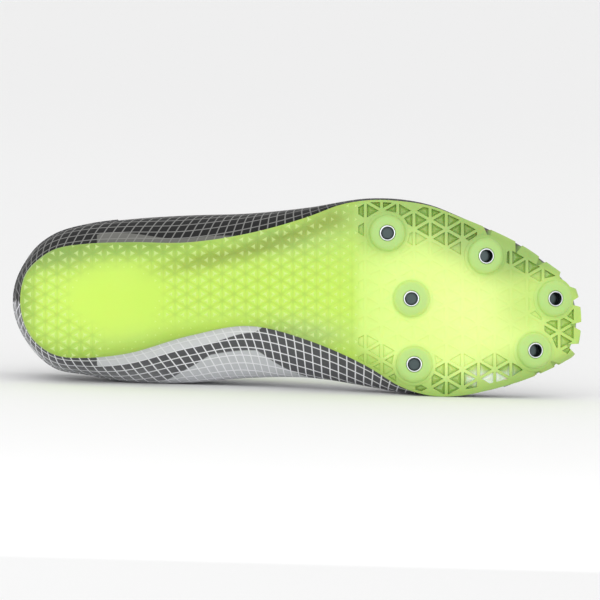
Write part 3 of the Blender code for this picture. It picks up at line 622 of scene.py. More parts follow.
def revolve(profile_points, sides, turn):
    """A closed body of revolution from (radius, height) pairs, ends on the axis."""
    points = []
    rows = []
    for radius, height in profile_points:
        if radius <= 0.0:
            rows.append([len(points)])
            points.append(Vector((0.0, 0.0, height)))
            continue
        row = []
        for k in range(sides):
            angle = 2 * math.pi * (k + 0.5) / sides
            row.append(len(points))
            points.append(Vector((radius * math.cos(angle), radius * math.sin(angle), height)))
        rows.append(row)
    faces = []
    for a, b in zip(rows, rows[1:]):
        for k in range(sides):
            m = (k + 1) % sides
            if len(a) == 1:
                faces.append((a[0], b[k], b[m]))
            elif len(b) == 1:
                faces.append((a[k], a[m], b[0]))
            else:
                faces.append((a[k], a[m], b[m], b[k]))
    return [tuple(turn @ p) for p in points], faces


def spike_frame(row):
    """Turn and place for a socket: local -Z looks out of the sole from the boss face."""
    _, along, across, lean = row
    x = along * LENGTH
    y = across * BALL_WIDTH
    tilt = Matrix.Rotation(-math.radians(lean), 4, "Y")
    if lean == 0.0:
        face = Vector((x, y, 0.0))
    else:
        out = tilt @ Vector((0.0, 0.0, -1.0))
        face = Vector((x, y, float(under(x)))) + out * BOSS_HEIGHT
    return Matrix.Translation(face) @ tilt


def socket_shape(row):
    """Points and faces of one steel insert: a blind cup with a chamfered mouth."""
    low = SOCKET_SINK
    bore = SOCKET_MOUTH - SOCKET_CHAMFER
    rise = ((0.0, low + SOCKET_DEPTH), (SOCKET_RADIUS, low + SOCKET_DEPTH),
            (SOCKET_RADIUS, low + 0.6 * SOCKET_CHAMFER),
            (SOCKET_RADIUS - 0.6 * SOCKET_CHAMFER, low), (SOCKET_MOUTH, low),
            (bore, low + SOCKET_CHAMFER), (bore, low + SOCKET_BORE), (0.0, low + SOCKET_BORE))
    return revolve(rise, SOCKET_SIDES, spike_frame(row))


def lattice(origin, size, columns, rows):
    """Centres of a lattice's triangles, and whether each points to +X, 1, or away, -1."""
    high = size * math.sqrt(3.0) / 2.0
    cells = []
    for i in columns:
        for j in rows:
            x = origin[0] + i * high
            y = origin[1] + (j + 0.5 * (i % 2)) * size
            for way in (1, -1):
                cells.append((x + way * high / 3.0, y + size / 2.0, way))
    return cells


def triangle(cx, cy, reach, way):
    corners = []
    for k in range(3):
        angle = 2.0 * math.pi * k / 3.0 + (0.0 if way > 0 else math.pi)
        corners.append((cx + reach * math.cos(angle), cy + reach * math.sin(angle)))
    return corners


def wedge(name, corners, high, collection):
    """An upright prism on the corners, its top at its own height over each corner."""
    count = len(corners)
    points = [(corner[0], corner[1], -TOE_SPRING) for corner in corners]
    points += [(corner[0], corner[1], top) for corner, top in zip(corners, high)]
    faces = [tuple(range(count)), tuple(count + k for k in reversed(range(count)))]
    for k in range(count):
        m = (k + 1) % count
        faces.append((k, count + k, count + m, m))
    return add_mesh(name, points, faces, collection)


def notch_place(row):
    """Start of a notch on the toe's edge, and the ways out of the shoe and along the edge."""
    start = np.array([row[0] * LENGTH, row[1] * BALL_WIDTH])
    out = unit(start - np.array([TOE_CENTRE_X, TOE_CENTRE_Y]))
    return start, out, np.array([-out[1], out[0]])


def cut_grooves(plate, collection):
    """The grooves that run inwards from the notches and part the toe's lugs."""
    for number, row in enumerate(NOTCH_ROWS):
        start, out, side = notch_place(row)
        tip = start - out * GROOVE_REACH
        far = start + out * NOTCH_DEPTH
        at_start = underside(*start) + GROOVE_DEPTH
        at_tip = underside(*tip) + GROOVE_DEPTH
        at_far = at_start + (at_start - at_tip) * NOTCH_DEPTH / GROOVE_REACH
        half = side * GROOVE_WIDTH * 0.5
        groove = wedge("toe_groove_%d" % (number + 1), (tip, far + half, far - half),
                       (at_tip, at_far, at_far), collection)
        boolean(plate, groove, "DIFFERENCE")


def cut_notches(plate, collection):
    """Teeth round the toe: notches that widen outwards, cut square to the edge."""
    for number, row in enumerate(NOTCH_ROWS):
        _, _, width, depth = row
        start, out, side = notch_place(row)
        inner = start - out * depth * NOTCH_DEPTH
        outer = start + out * NOTCH_REACH * NOTCH_DEPTH
        narrow = side * width * NOTCH_WIDTH * NOTCH_INNER
        wide = side * width * NOTCH_WIDTH * NOTCH_OUTER
        corners = (inner - narrow, inner + narrow, outer + wide, outer - wide)
        notch = wedge("toe_notch_%d" % (number + 1), corners, [2.5 * TOE_SPRING] * 4, collection)
        boolean(plate, notch, "DIFFERENCE")


def tongue_line(share):
    """The tongue's outer line across the shoe, tucked under both eyestays."""
    drop = WALL + TONGUE_CLEAR
    lateral, medial = ([wall(share, side, up) - wall_normal(share, side, up) * drop
                        for up in TONGUE_TUCK] for side in (-1, 1))
    if share < THROAT_SHARE:
        middle = [bridge(share, across) - bridge_normal(share, across) * drop
                  for across in (0.0, 0.25, 0.5, 0.75, 1.0)]
    else:
        middle = [edge(share, 1) - np.array([0.05, 0.0, 1.0]) * drop] * 5
    return lateral + middle + medial[::-1]


def eyelet_shares():
    step = (EYELET_LAST - EYELET_FIRST) / (EYELET_PAIRS - 1)
    return [EYELET_FIRST + step * k for k in range(EYELET_PAIRS)]


def over_instep(share_from, share_to, side_from, lift):
    """Path of a lace from one eyelet over the tongue to the eyelet opposite."""
    path = []
    normals = []
    for s, kind, value in LACE_STEPS:
        share = share_from + (share_to - share_from) * s
        if kind == "over":
            across = value if side_from < 0 else 1.0 - value
            point = bridge(share, across)
            normal = bridge_normal(share, across)
        else:
            side = side_from if kind == "near" else -side_from
            point = wall(share, side, value)
            normal = wall_normal(share, side, value)
        path.append(point + normal * lift)
        normals.append(normal)
    return path, normals


def solid_centre(thing):
    """Centre of a closed mesh, by its volume."""
    mesh = thing.data
    mesh.calc_loop_triangles()
    points = np.array([v.co for v in mesh.vertices])
    tris = np.array([t.vertices for t in mesh.loop_triangles])
    a, b, c = points[tris[:, 0]], points[tris[:, 1]], points[tris[:, 2]]
    parts = np.einsum("ij,ij->i", a, np.cross(b, c)) / 6.0
    return (parts[:, None] * (a + b + c) / 4.0).sum(axis=0) / parts.sum()


# Sizes that only the finished look needs
FINE_STATIONS = 150
FINE_PLATE_STATIONS = 120
FINE_COLUMNS = 34
FINE_SIDES = 56
BORE_SIDES = 48
EYELET_SIDES = 28
INSOLE_STATIONS = 70
RIM_SAMPLES = 220
TONGUE_COLUMNS = 41
TONGUE_ROWS = 40
TONGUE_END_ROWS = 16
TONGUE_PAD = 0.8 * MM
LACE_SIDES = 12
LACE_STEP = 1.1 * MM
LACE_CHEVRON = 1.1 * MM
STITCH_STEP = 3.0 * MM
STITCH_SIZE = (2.2 * MM, 0.55 * MM, 0.22 * MM)
KNIT_PITCH = 1.6 * MM
WEAVE_PITCH = 4.45 * MM
WEAVE_STRIPES = 7.0
THREAD_START = 0.5 * MM
THREAD_STEP = 0.4 * MM
THREAD_DEEP = 0.26 * MM
BORE_ROOM = 0.12 * MM
BORE_LIP = 0.35 * MM
TREAD_EDGE = 6.7 * MM
TREAD_PYRAMID = 1.75 * MM
TREAD_RISE = 0.60 * MM
TREAD_ORIGIN_X = 0.243 * LENGTH
TREAD_ORIGIN_Y = 0.010 * BALL_WIDTH
TREAD_LEAST = 0.08

# Places of the tongue's points under each eyestay, up the wall
TONGUE_TUCK = (0.86, 0.91, 0.96)

# A lace's way over the instep: share of the way, wall it is near or line over the throat, place there
LACE_STEPS = (
    (0.0, "near", EYELET_UP),
    (0.10, "near", 0.96),
    (0.20, "over", 0.0),
    (0.35, "over", 0.25),
    (0.5, "over", 0.5),
    (0.65, "over", 0.75),
    (0.80, "over", 1.0),
    (0.90, "far", 0.96),
    (1.0, "far", EYELET_UP),
)

# Section of the plate's flat middle and of its top face: across, then across and height
FLAT_SHARES = (-0.62, -0.47, -0.33, -0.2, -0.08, 0.04, 0.16, 0.3, 0.45, 0.61)
TOP_SHARES = ((1.0, 0.86), (0.995, 0.95), (0.98, 1.0), (0.5, 1.0), (0.0, 1.0), (-0.5, 1.0),
              (-0.98, 1.0), (-0.995, 0.95), (-1.0, 0.86))

# Dome of a boss, then its foot: millimetres beyond its radius, height as a share of the boss
DOME_STEPS = 7
DOME_SHARE = 0.80
FACE_RISE = 0.06 * MM
BOSS_FOOT = ((0.30, 0.90), (0.80, 0.97), (1.50, 1.01), (1.50, 1.37))

# Edges of a socket, in millimetres: in from its radius and up, then out from its mouth and up
SOCKET_EDGE = ((0.0, 0.25), (0.1, 0.07), (0.25, 0.0))
MOUTH_EDGE = ((0.3, 0.0), (0.1, 0.04))

# Folds of the upper: place along, reach, wave length and height
BALL_FOLDS = (0.66, 0.035, 4.6 * MM, 0.18 * MM)
ANKLE_FOLDS = (0.24, 0.05, 3.4 * MM, 0.22 * MM)

# Shader lengths: where lines fade in, how far they stand up, how round edges look
GROOVE_RAMP = (0.10 * MM, 0.75 * MM)
STAR_RAMP = (0.0, 4.2 * MM)
GROOVE_LIFT = -0.12 * MM
GRAIN_LIFT = 0.01 * MM
EDGE_ROUND = 0.30 * MM
BAND_EDGE = 0.2 * MM
PANEL_EDGE = 0.3 * MM
WEAVE_LIFT = 0.22 * MM
CLOTH_LIFT = 0.2 * MM
LACE_LIFT = 0.25 * MM
STEEL_LIFT = 0.02 * MM
KNIT_LIFT = -0.18 * MM
BINDING_LIFT = 0.20 * MM
SEAM_LIFT = 0.15 * MM
BINDING_RAMP = (2.2 * MM, 2.4 * MM)
SEAM_AWAY = 3.2 * MM
SEAM_RAMP = (0.15 * MM, 0.3 * MM)

# Section of the insole: across, height as a share of its thickness
INSOLE_SECTION = (
    (0.0, 0.1), (0.5, 0.0), (1.0, 0.1), (1.0, 0.8), (0.985, 1.15), (0.95, 1.2), (0.88, 1.05),
    (0.75, 1.0), (0.5, 1.0), (0.25, 1.0), (0.12, 1.05), (0.05, 1.2), (0.015, 1.15), (0.0, 0.8),
)

# Section of an eyelet ring, in millimetres out from the hole and up from the wall
EYELET_SECTION = ((0.10, -0.10), (0.05, 0.22), (0.30, 0.36), (0.75, 0.34), (1.05, 0.16), (1.10, -0.10))

# Rows of stitches on each side: height up the wall, start and end along the shoe
SEAM_ROWS = ((0.915, 0.0, 0.30), (0.985, 0.335, 0.668), (0.855, 0.335, 0.694))
SEAM_POINTS = 40

# Screen colours, 0 to 255, of the sole; the groove, star, pocket and trough colours are painted shade,
# the rib, pyramid and tread colours painted highlights
CLOUD_COLOUR = (214, 246, 120)
GROOVE_SHADE_COLOUR = (104, 146, 40)
STAR_SHADE_COLOUR = (112, 158, 44)
POCKET_SHADE_COLOUR = (118, 156, 78)
RIB_HIGHLIGHT_COLOUR = (188, 222, 138)
TROUGH_SHADE_COLOUR = (134, 156, 14)
INNER_COLOUR = (52, 54, 55)
GLARE_COLOUR = (250, 255, 246)
PYRAMID_HIGHLIGHT_COLOUR = (226, 250, 170)
TREAD_HIGHLIGHT_COLOUR = (232, 255, 166)

# Screen colours of the upper: each cell, thread and film on both sides and at both ends; the lateral
# colours are darker copies, painted shade, and the darkest ones are deepened with painted shade
MEDIAL_DARK = ((74, 74, 78), (98, 98, 102))
MEDIAL_LIGHT = ((192, 194, 198), (214, 216, 220))
MEDIAL_PALE = (168, 169, 172)
LATERAL_SHADED_GREY = (24, 24, 23)
LATERAL_BLACK_SHADED = (12, 12, 12)
BAND_LATERAL_SHADED = (112, 112, 108)
BAND_MEDIAL = (216, 217, 221)
THREAD_MEDIAL = (238, 238, 243)
THREAD_LATERAL_SHADED = (132, 132, 130)
THREAD_BLACK_SHADED = (60, 60, 60)
THREAD_BAND_SHADED = (138, 138, 134)
FILM_HEEL = (120, 121, 124)
FILM_TOE = (52, 53, 56)
FILM_BLACK_SHADED = (18, 18, 19)
COLLAR_COLOUR = (38, 38, 40)
LINING_COLOUR = (44, 45, 47)

# Screen colours of the small pieces
LACE_COLOURS = ((200, 238, 84), (158, 198, 52))
KNIT_COLOURS = ((84, 86, 89), (50, 51, 54))
BINDING_COLOUR = (34, 35, 37)
SEAM_COLOUR = (150, 152, 155)
STEEL_COLOUR = (226, 230, 232)
BORE_SHADE_GLINT_COLOURS = ((74, 84, 84), (250, 252, 252))
INSOLE_COLOURS = ((62, 64, 66), (46, 47, 49))
STITCH_COLOURS = ((150, 152, 155), (120, 122, 125))
EYELET_COLOURS = ((34, 35, 36), (26, 27, 28))


def srgb(red, green, blue):
    """Screen colour, 0 to 255, as the linear colour that a shader takes."""
    out = []
    for value in (red, green, blue):
        v = value / 255.0
        out.append(v / 12.92 if v <= 0.04045 else ((v + 0.055) / 1.055) ** 2.4)
    return tuple(out)


def shoe_turn():
    """Turn and shift from the shoe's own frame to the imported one, found on the sockets."""
    ours = []
    theirs = []
    for row in SPIKE_ROWS:
        points, faces = socket_shape(row)
        probe = add_mesh("probe", points, faces, bpy.context.scene.collection)
        ours.append(solid_centre(probe))
        bpy.data.objects.remove(probe)
        theirs.append(solid_centre(frame["nodes"]["spike_socket_" + row[0]]))
    ours = np.array(ours)
    theirs = np.array(theirs)
    a = ours - ours.mean(axis=0)
    b = theirs - theirs.mean(axis=0)
    u, _, vt = np.linalg.svd(a.T @ b)
    flip = np.diag([1.0, 1.0, np.sign(np.linalg.det(vt.T @ u.T))])
    turn = vt.T @ flip @ u.T
    shift = theirs.mean(axis=0) - turn @ ours.mean(axis=0)
    return turn, shift


def rigid(turn, shift):
    """Matrix of a turn and a shift."""
    matrix = Matrix.Identity(4)
    for i in range(3):
        for j in range(3):
            matrix[i][j] = float(turn[i][j])
        matrix[i][3] = float(shift[i])
    return matrix


def place(thing):
    """Carries a mesh made in the shoe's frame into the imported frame."""
    thing.data.transform(rigid(TURN, SHIFT))
    thing.data.update()
    return thing


def corners_of(thing):
    return np.array([v.co[:] for v in thing.data.vertices])


def finished(thing, angle):
    """Smooth faces, sharp edges where the surface turns further than the angle, and its place."""
    work = bmesh.new()
    work.from_mesh(thing.data)
    limit = math.radians(angle)
    for face in work.faces:
        face.smooth = True
    for line in work.edges:
        if len(line.link_faces) == 2 and line.calc_face_angle(0.0) > limit:
            line.smooth = False
    work.to_mesh(thing.data)
    work.free()
    return place(thing)


def corner_data(thing, name, values, kind="FLOAT"):
    """Stores one value for each vertex under a name the shaders read."""
    layer = thing.data.attributes.new(name, kind, "POINT")
    if kind == "FLOAT":
        layer.data.foreach_set("value", np.asarray(values, np.float32).ravel())
    else:
        layer.data.foreach_set("color", np.asarray(values, np.float32).ravel())


class Nodes:
    """Short way to write a shader as a chain of calls. Its mixed colours are screen colours."""

    def __init__(self, name):
        self.material = bpy.data.materials.new(name)
        self.material.use_nodes = True
        self.tree = self.material.node_tree
        self.shader = self.tree.nodes["Principled BSDF"]

    def link(self, source, node, socket):
        if isinstance(source, (int, float)):
            node.inputs[socket].default_value = source
        elif isinstance(source, tuple):
            node.inputs[socket].default_value = (*source, 1.0)
        else:
            self.tree.links.new(source, node.inputs[socket])

    def math(self, what, a, b=0.0, c=0.0):
        node = self.tree.nodes.new("ShaderNodeMath")
        node.operation = what
        for i, source in enumerate((a, b, c)):
            self.link(source, node, i)
        return node.outputs[0]

    def times(self, a, b):
        return self.math("MULTIPLY", a, b)

    def inverse(self, share):
        return self.math("SUBTRACT", 1.0, share)

    def cell(self, coordinate, pitch):
        """Distance from the middle of each cell of the pitch, 0.5 at the cell's edges."""
        part = self.math("FRACT", self.math("DIVIDE", coordinate, pitch))
        return self.math("ABSOLUTE", self.math("SUBTRACT", part, 0.5))

    def read(self, name, output="Fac"):
        node = self.tree.nodes.new("ShaderNodeAttribute")
        node.attribute_name = name
        return node.outputs[output]

    def mix(self, share, a, b):
        node = self.tree.nodes.new("ShaderNodeMix")
        node.data_type = "RGBA"
        self.link(share, node, "Factor")
        inputs = [s for s in node.inputs if s.type == "RGBA"]
        for source, socket in ((a, inputs[0]), (b, inputs[1])):
            if isinstance(source, tuple):
                socket.default_value = (*srgb(*source), 1.0)
            else:
                self.tree.links.new(source, socket)
        return [s for s in node.outputs if s.type == "RGBA"][0]

    def ramp(self, value, low, high):
        node = self.tree.nodes.new("ShaderNodeMapRange")
        node.interpolation_type = "SMOOTHSTEP"
        self.link(value, node, 0)
        node.inputs[1].default_value = low
        node.inputs[2].default_value = high
        return node.outputs[0]

    def noise(self, scale, detail):
        node = self.tree.nodes.new("ShaderNodeTexNoise")
        node.inputs["Scale"].default_value = scale
        node.inputs["Detail"].default_value = detail
        where = self.tree.nodes.new("ShaderNodeTexCoord")
        self.tree.links.new(where.outputs["Object"], node.inputs["Vector"])
        return node.outputs[0]

    def bump(self, height, distance, strength, normal=None):
        node = self.tree.nodes.new("ShaderNodeBump")
        node.inputs["Strength"].default_value = strength
        node.inputs["Distance"].default_value = distance
        self.link(height, node, "Height")
        if normal is not None:
            self.tree.links.new(normal, node.inputs["Normal"])
        return node.outputs[0]

    def rounded(self, radius):
        node = self.tree.nodes.new("ShaderNodeBevel")
        node.samples = 4
        node.inputs["Radius"].default_value = radius
        return node.outputs[0]

    def finish(self, **values):
        for name, value in values.items():
            self.link(value, self.shader, name.replace("_", " "))
        return self.material


REAR_COLOUR = (190, 228, 96)
FORE_COLOUR = (222, 250, 148)
# Painted shade on the plate's rounded rim, behind and in front of the step
RIM_REAR_SHADE_COLOUR = (120, 158, 66)
RIM_FORE_SHADE_COLOUR = (132, 170, 78)
BOSS_COLOUR = (174, 214, 124)

# The sole's colours by place: along, across, reach along, reach across, strength, colour; the darker
# zones on the lateral side are painted shade
REAR_ZONES = (
    (0.14, 0.01, 0.105, 0.170, 0.95, (207, 243, 92)),
    (0.30, -0.01, 0.120, 0.130, 0.75, (200, 238, 82)),
    (0.42, -0.06, 0.090, 0.110, 0.65, (196, 234, 74)),
    (0.53, 0.03, 0.080, 0.200, 0.75, (200, 238, 78)),
    (0.50, 0.19, 0.070, 0.070, 0.75, (172, 202, 132)),
    (0.47, -0.31, 0.075, 0.060, 0.70, (164, 198, 112)),
    (0.57, -0.42, 0.050, 0.080, 0.70, (158, 192, 104)),
    (0.20, 0.24, 0.070, 0.050, 0.60, (204, 240, 116)),
    (0.075, -0.25, 0.050, 0.080, 0.75, (132, 164, 72)),
)
FORE_ZONES = (
    (0.70, 0.05, 0.070, 0.250, 0.60, (226, 254, 148)),
    (0.80, 0.11, 0.075, 0.210, 0.95, (236, 255, 164)),
    (0.69, 0.22, 0.060, 0.110, 0.60, (224, 250, 146)),
    (0.63, -0.38, 0.060, 0.110, 0.90, (134, 172, 84)),
    (0.73, -0.42, 0.050, 0.070, 0.65, (150, 188, 90)),
    (0.81, -0.33, 0.060, 0.090, 0.90, (128, 162, 76)),
    (0.89, -0.21, 0.060, 0.100, 0.90, (128, 166, 70)),
    (0.905, 0.02, 0.040, 0.110, 0.60, (180, 216, 104)),
    (0.985, 0.08, 0.035, 0.280, 0.85, (176, 212, 96)),
    (0.90, 0.38, 0.060, 0.080, 0.80, (164, 202, 92)),
    (0.78, 0.47, 0.080, 0.060, 0.70, (196, 230, 136)),
)

# Step between the two colours, and the plate's own tint
FORE_STEP = 0.6065 * LENGTH
STEP_HALF = 1.5 * MM
SOLE_DEPTH = (0.98, 0.97, 0.78)


def zone_mix(base, zones, x, y):
    """The base colour with every zone's colour over it, each fading out round its centre."""
    colour = np.tile(np.array(srgb(*base)), (len(x), 1))
    for along, across, long, wide, strength, tint in zones:
        u = (x / LENGTH - along) / long
        v = (y / BALL_WIDTH - across) / wide
        colour = toward(colour, tint, strength * np.exp(-0.5 * (u * u + v * v) ** 1.3))
    return colour


def toward(colour, tint, share):
    return colour * (1 - share[:, None]) + np.array(srgb(*tint)) * share[:, None]


def across_share(x, y):
    """Place across the sole, -1 at the lateral edge to 1 at the medial one."""
    low, high = sole_edges(sole_share(x))
    return (y - 0.5 * (low + high)) / np.maximum(0.5 * (high - low), 1e-5)


def sole_colour(x, y):
    """Blend of the zones here, darker towards the rim with painted shade, more so on the lateral side,
    paler in front of the step.
    """
    rim = np.clip(np.abs(across_share(x, y)), 0.0, 1.0)
    end = blend(0.045, 0.0, (x - SOLE_START) / LENGTH)
    heel = 1.0 - blend(0.20, 0.42, x / LENGTH)
    lateral = blend(0.2, -0.2, y / BALL_WIDTH)
    # Painted shade towards the rounded rim, more at the heel and on the lateral side
    rim_shade = blend(0.52, 0.98, rim) * (0.25 + 0.50 * heel) * (0.55 + 0.45 * lateral)
    rear = zone_mix(REAR_COLOUR, REAR_ZONES, x, y)
    rear = toward(rear, RIM_REAR_SHADE_COLOUR, np.maximum(rim_shade, 0.6 * end))
    # Painted shade along the trough of the lateral waist
    rear = toward(rear, TROUGH_SHADE_COLOUR, 0.90 * trough(x, y))
    fore = zone_mix(FORE_COLOUR, FORE_ZONES, x, y)
    # Painted shade towards the forefoot's rounded rim
    fore = toward(fore, RIM_FORE_SHADE_COLOUR, 0.72 * blend(0.66, 0.98, rim))
    ahead = 0.55 + 0.45 * blend(0.60, 0.68, x / LENGTH)
    share = blend(FORE_STEP - STEP_HALF, FORE_STEP + STEP_HALF, x) * ahead
    colour = rear * (1 - share[:, None]) + fore * share[:, None]
    return colour * np.array(SOLE_DEPTH)


def boss_share(x, y):
    """1 on a boss, fading round its foot."""
    out = np.zeros(len(x))
    for row in SPIKE_ROWS:
        away = np.hypot(x - row[1] * LENGTH, y - row[2] * BALL_WIDTH)
        out = np.maximum(out, 1.0 - blend(BOSS_RADIUS * 0.74, BOSS_RADIUS * 1.20, away))
    return out


def glare(x, y):
    """Where clear pockets on the medial edge catch the light."""
    u = (x - 0.835 * LENGTH) / (0.050 * LENGTH)
    v = (y - 0.410 * BALL_WIDTH) / (0.045 * BALL_WIDTH)
    return 1.0 - blend(0.8, 1.1, np.hypot(u, v))


# Line of the shallow trough down the lateral waist, by length and ball width
TROUGH_ROWS = (
    (0.19, -0.12),
    (0.25, -0.155),
    (0.32, -0.185),
    (0.42, -0.25),
    (0.50, -0.33),
    (0.56, -0.41),
)
TROUGH_WIDE = 4.2 * MM
TROUGH_DEEP = 0.9 * MM


def trough(x, y):
    """How deep the trough is here, 0 to 1."""
    along = np.array([r[0] for r in TROUGH_ROWS]) * LENGTH
    across = np.array([r[1] for r in TROUGH_ROWS]) * BALL_WIDTH
    middle = np.interp(x, along, across)
    fade = blend(0.20, 0.36, x / LENGTH) * (1.0 - blend(0.56, 0.60, x / LENGTH))
    return fade * np.exp(-((y - middle) / TROUGH_WIDE) ** 2)


RIM_SHARES = (0.78, 0.84, 0.89, 0.925, 0.95, 0.97, 0.985, 0.995, 1.0)


def rim_lift_smooth(s):
    """The plate's rounded edge as a curve: rise of the underside as a share of thickness."""
    knots = np.concatenate([[0.70], column(RIM_ROWS, RIM_NAMES, "across")])
    values = np.concatenate([[0.0], column(RIM_ROWS, RIM_NAMES, "rise")])
    return smooth(knots, values, np.abs(s), True)


def low_face(x, y):
    """Height of the finished underside at a point of the sole."""
    base = under(x)
    rise = (plate_top(x) - base) * rim_lift_smooth(np.clip(across_share(x, y), -1.0, 1.0))
    return base + rise + TROUGH_DEEP * trough(x, y)


def fine_ring(share):
    """Section of the finished plate: underside with rounded edges, then the top face."""
    x = float(sole_x(share))
    low, high = sole_edges(share)
    middle = 0.5 * (low + high)
    half = 0.5 * (high - low)
    base = float(under(x))
    top = float(plate_top(x))
    ring = []
    for s in [-s for s in RIM_SHARES[::-1]] + list(FLAT_SHARES + RIM_SHARES):
        y = middle + s * half
        z = base + (top - base) * float(rim_lift_smooth(s)) + TROUGH_DEEP * float(trough(x, y))
        ring.append(np.array([x, y, min(z, top - 0.2 * MM)]))
    for s, rise in TOP_SHARES:
        ring.append(np.array([x, middle + s * half, base + (top - base) * rise]))
    return ring


def fine_boss(row, collection):
    """A boss with a domed shoulder, to join to the plate."""
    r = BOSS_RADIUS
    f = BOSS_FACE_RADIUS
    h = BOSS_HEIGHT
    rise = [(0.0, 0.0), (SOCKET_RADIUS + 1.1 * MM, 0.0), (f, FACE_RISE)]
    for k in range(1, DOME_STEPS + 1):
        angle = 0.5 * math.pi * k / DOME_STEPS
        up = FACE_RISE + h * DOME_SHARE * (1 - math.cos(angle))
        rise.append((f + (r - f) * math.sin(angle), up))
    rise += [(r + wide * MM, high * h) for wide, high in BOSS_FOOT] + [(0.0, BOSS_FOOT[-1][1] * h)]
    points, faces = revolve(rise, FINE_SIDES, spike_frame(row))
    return add_mesh("fine_boss_" + row[0], points, faces, collection)


def rim_line():
    """Points of the sole's edge round the forefoot, with the direction into the sole."""
    shares = np.linspace(TRUSS_START - 0.02, 1.0, RIM_SAMPLES)
    x = SOLE_START + (SOLE_END - SOLE_START) * shares
    points = []
    inward = []
    for side in (-1, 1):
        y = np.array([float(sole_y(share, side)) for share in shares])
        run = np.stack([np.gradient(x), np.gradient(y)], axis=1)
        run /= np.linalg.norm(run, axis=1)[:, None]
        points.append(np.stack([x, y], axis=1))
        inward.append(np.stack([run[:, 1] * side, -run[:, 0] * side], axis=1))
    return np.vstack(points), np.vstack(inward)


def cut_back(corners, at, way):
    """The part of a flat polygon on the side of the line through at that way points to."""
    kept = []
    for i, here in enumerate(corners):
        nxt = corners[(i + 1) % len(corners)]
        d = (here - at) @ way
        e = (nxt - at) @ way
        if d >= 0:
            kept.append(here)
        if (d >= 0) != (e >= 0):
            kept.append(here + (nxt - here) * (d / (d - e)))
    return kept


def flat_area(corners):
    total = 0.0
    for i, a in enumerate(corners):
        b = corners[(i + 1) % len(corners)]
        total += a[0] * b[1] - a[1] * b[0]
    return 0.5 * abs(total)


def trimmed(cx, cy, corners, rim):
    """A pocket's corners cut back from the rim and from every boss, or None if little is left."""
    centre = np.array([cx, cy])
    whole = [np.array(c) for c in corners]
    full = flat_area(whole)
    near = int(np.argmin(np.hypot(rim[0][:, 0] - cx, rim[0][:, 1] - cy)))
    margin = RIM_POCKET + NOTCH_POCKET * float(blend(0.785, 0.815, cx / LENGTH))
    kept = cut_back(whole, rim[0][near] + rim[1][near] * margin, rim[1][near])
    start = SOLE_START + (SOLE_END - SOLE_START) * TRUSS_START
    kept = cut_back(kept, np.array([start + 0.5 * MM, 0.0]), np.array([1.0, 0.0]))
    for row in SPIKE_ROWS:
        boss = np.array([row[1] * LENGTH, row[2] * BALL_WIDTH])
        away = np.linalg.norm(centre - boss)
        if away < BOSS_RADIUS * 0.8:
            return None
        if away < BOSS_RADIUS + TRUSS_EDGE:
            way = (centre - boss) / away
            kept = cut_back(kept, boss + way * (BOSS_RADIUS + BOSS_POCKET), way)
    if len(kept) < 3 or flat_area(kept) < LEAST_POCKET * full:
        return None
    return kept


def fine_truss(collection):
    """The pockets between the ribs: sharp near the rim, faint in the pale middle."""
    points = []
    faces = []
    rim = rim_line()
    reach = TRUSS_EDGE / math.sqrt(3.0) - 0.85 * TRUSS_RIB
    origin = (TRUSS_ORIGIN_X, TRUSS_ORIGIN_Y)
    for cx, cy, way in lattice(origin, TRUSS_EDGE, range(-8, 12), range(-14, 15)):
        share = sole_share(cx)
        low, high = sole_edges(share)
        if share < TRUSS_START or share > TRUSS_LAST or not low < cy < high:
            continue
        corners = trimmed(cx, cy, triangle(cx, cy, reach, way), rim)
        if corners is None:
            continue
        middle = np.mean(corners, axis=0)
        size = len(corners)
        deep = TRUSS_DEPTH * pocket_share(middle[0], middle[1])
        base = len(points)
        levels = ((1.0, -TRUSS_DEPTH), (1.0, -0.02 * MM), (0.95, 0.5 * deep), (0.84, deep))
        for keep, rise in levels:
            for corner in corners:
                x, y = middle + (corner - middle) * keep
                points.append((x, y, float(low_face(x, y)) + rise))
        points.append((middle[0], middle[1], float(low_face(middle[0], middle[1])) + 0.45 * deep))
        faces.append(tuple(base + k for k in range(size)))
        last = base + size * (len(levels) - 1)
        for k in range(size):
            faces.append((last + k, last + size, last + (k + 1) % size))
        for start in range(base, last, size):
            for k in range(size):
                m = (k + 1) % size
                faces.append((start + k, start + size + k, start + size + m, start + m))
    return add_mesh("fine_truss", points, faces, collection)


def pocket_share(x, y):
    """Depth of a pocket: full near the rim and the toe, slight in the middle of the ball."""
    rim = float(blend(0.52, 0.74, abs(across_share(x, y))))
    toe = float(blend(0.905, 0.945, x / LENGTH))
    faint = float(1.0 - blend(0.64, 0.71, x / LENGTH)) * float(blend(0.0, 0.2, y / BALL_WIDTH))
    return max(rim * (1.0 - 0.6 * faint), toe, FAINT_POCKET)


def cut_bores(plate, cutters):
    """A round hole with a small lip for each spike socket."""
    radius = SOCKET_RADIUS + BORE_ROOM
    floor = SOCKET_DEPTH + SOCKET_SINK + GAP
    rise = ((0.0, -radius), (radius + 2.0 * BORE_LIP, -BORE_LIP), (radius, BORE_LIP),
            (radius, floor), (0.0, floor))
    for row in SPIKE_ROWS:
        points, faces = revolve(rise, BORE_SIDES, spike_frame(row))
        boolean(plate, add_mesh("fine_bore_" + row[0], points, faces, cutters), "DIFFERENCE")


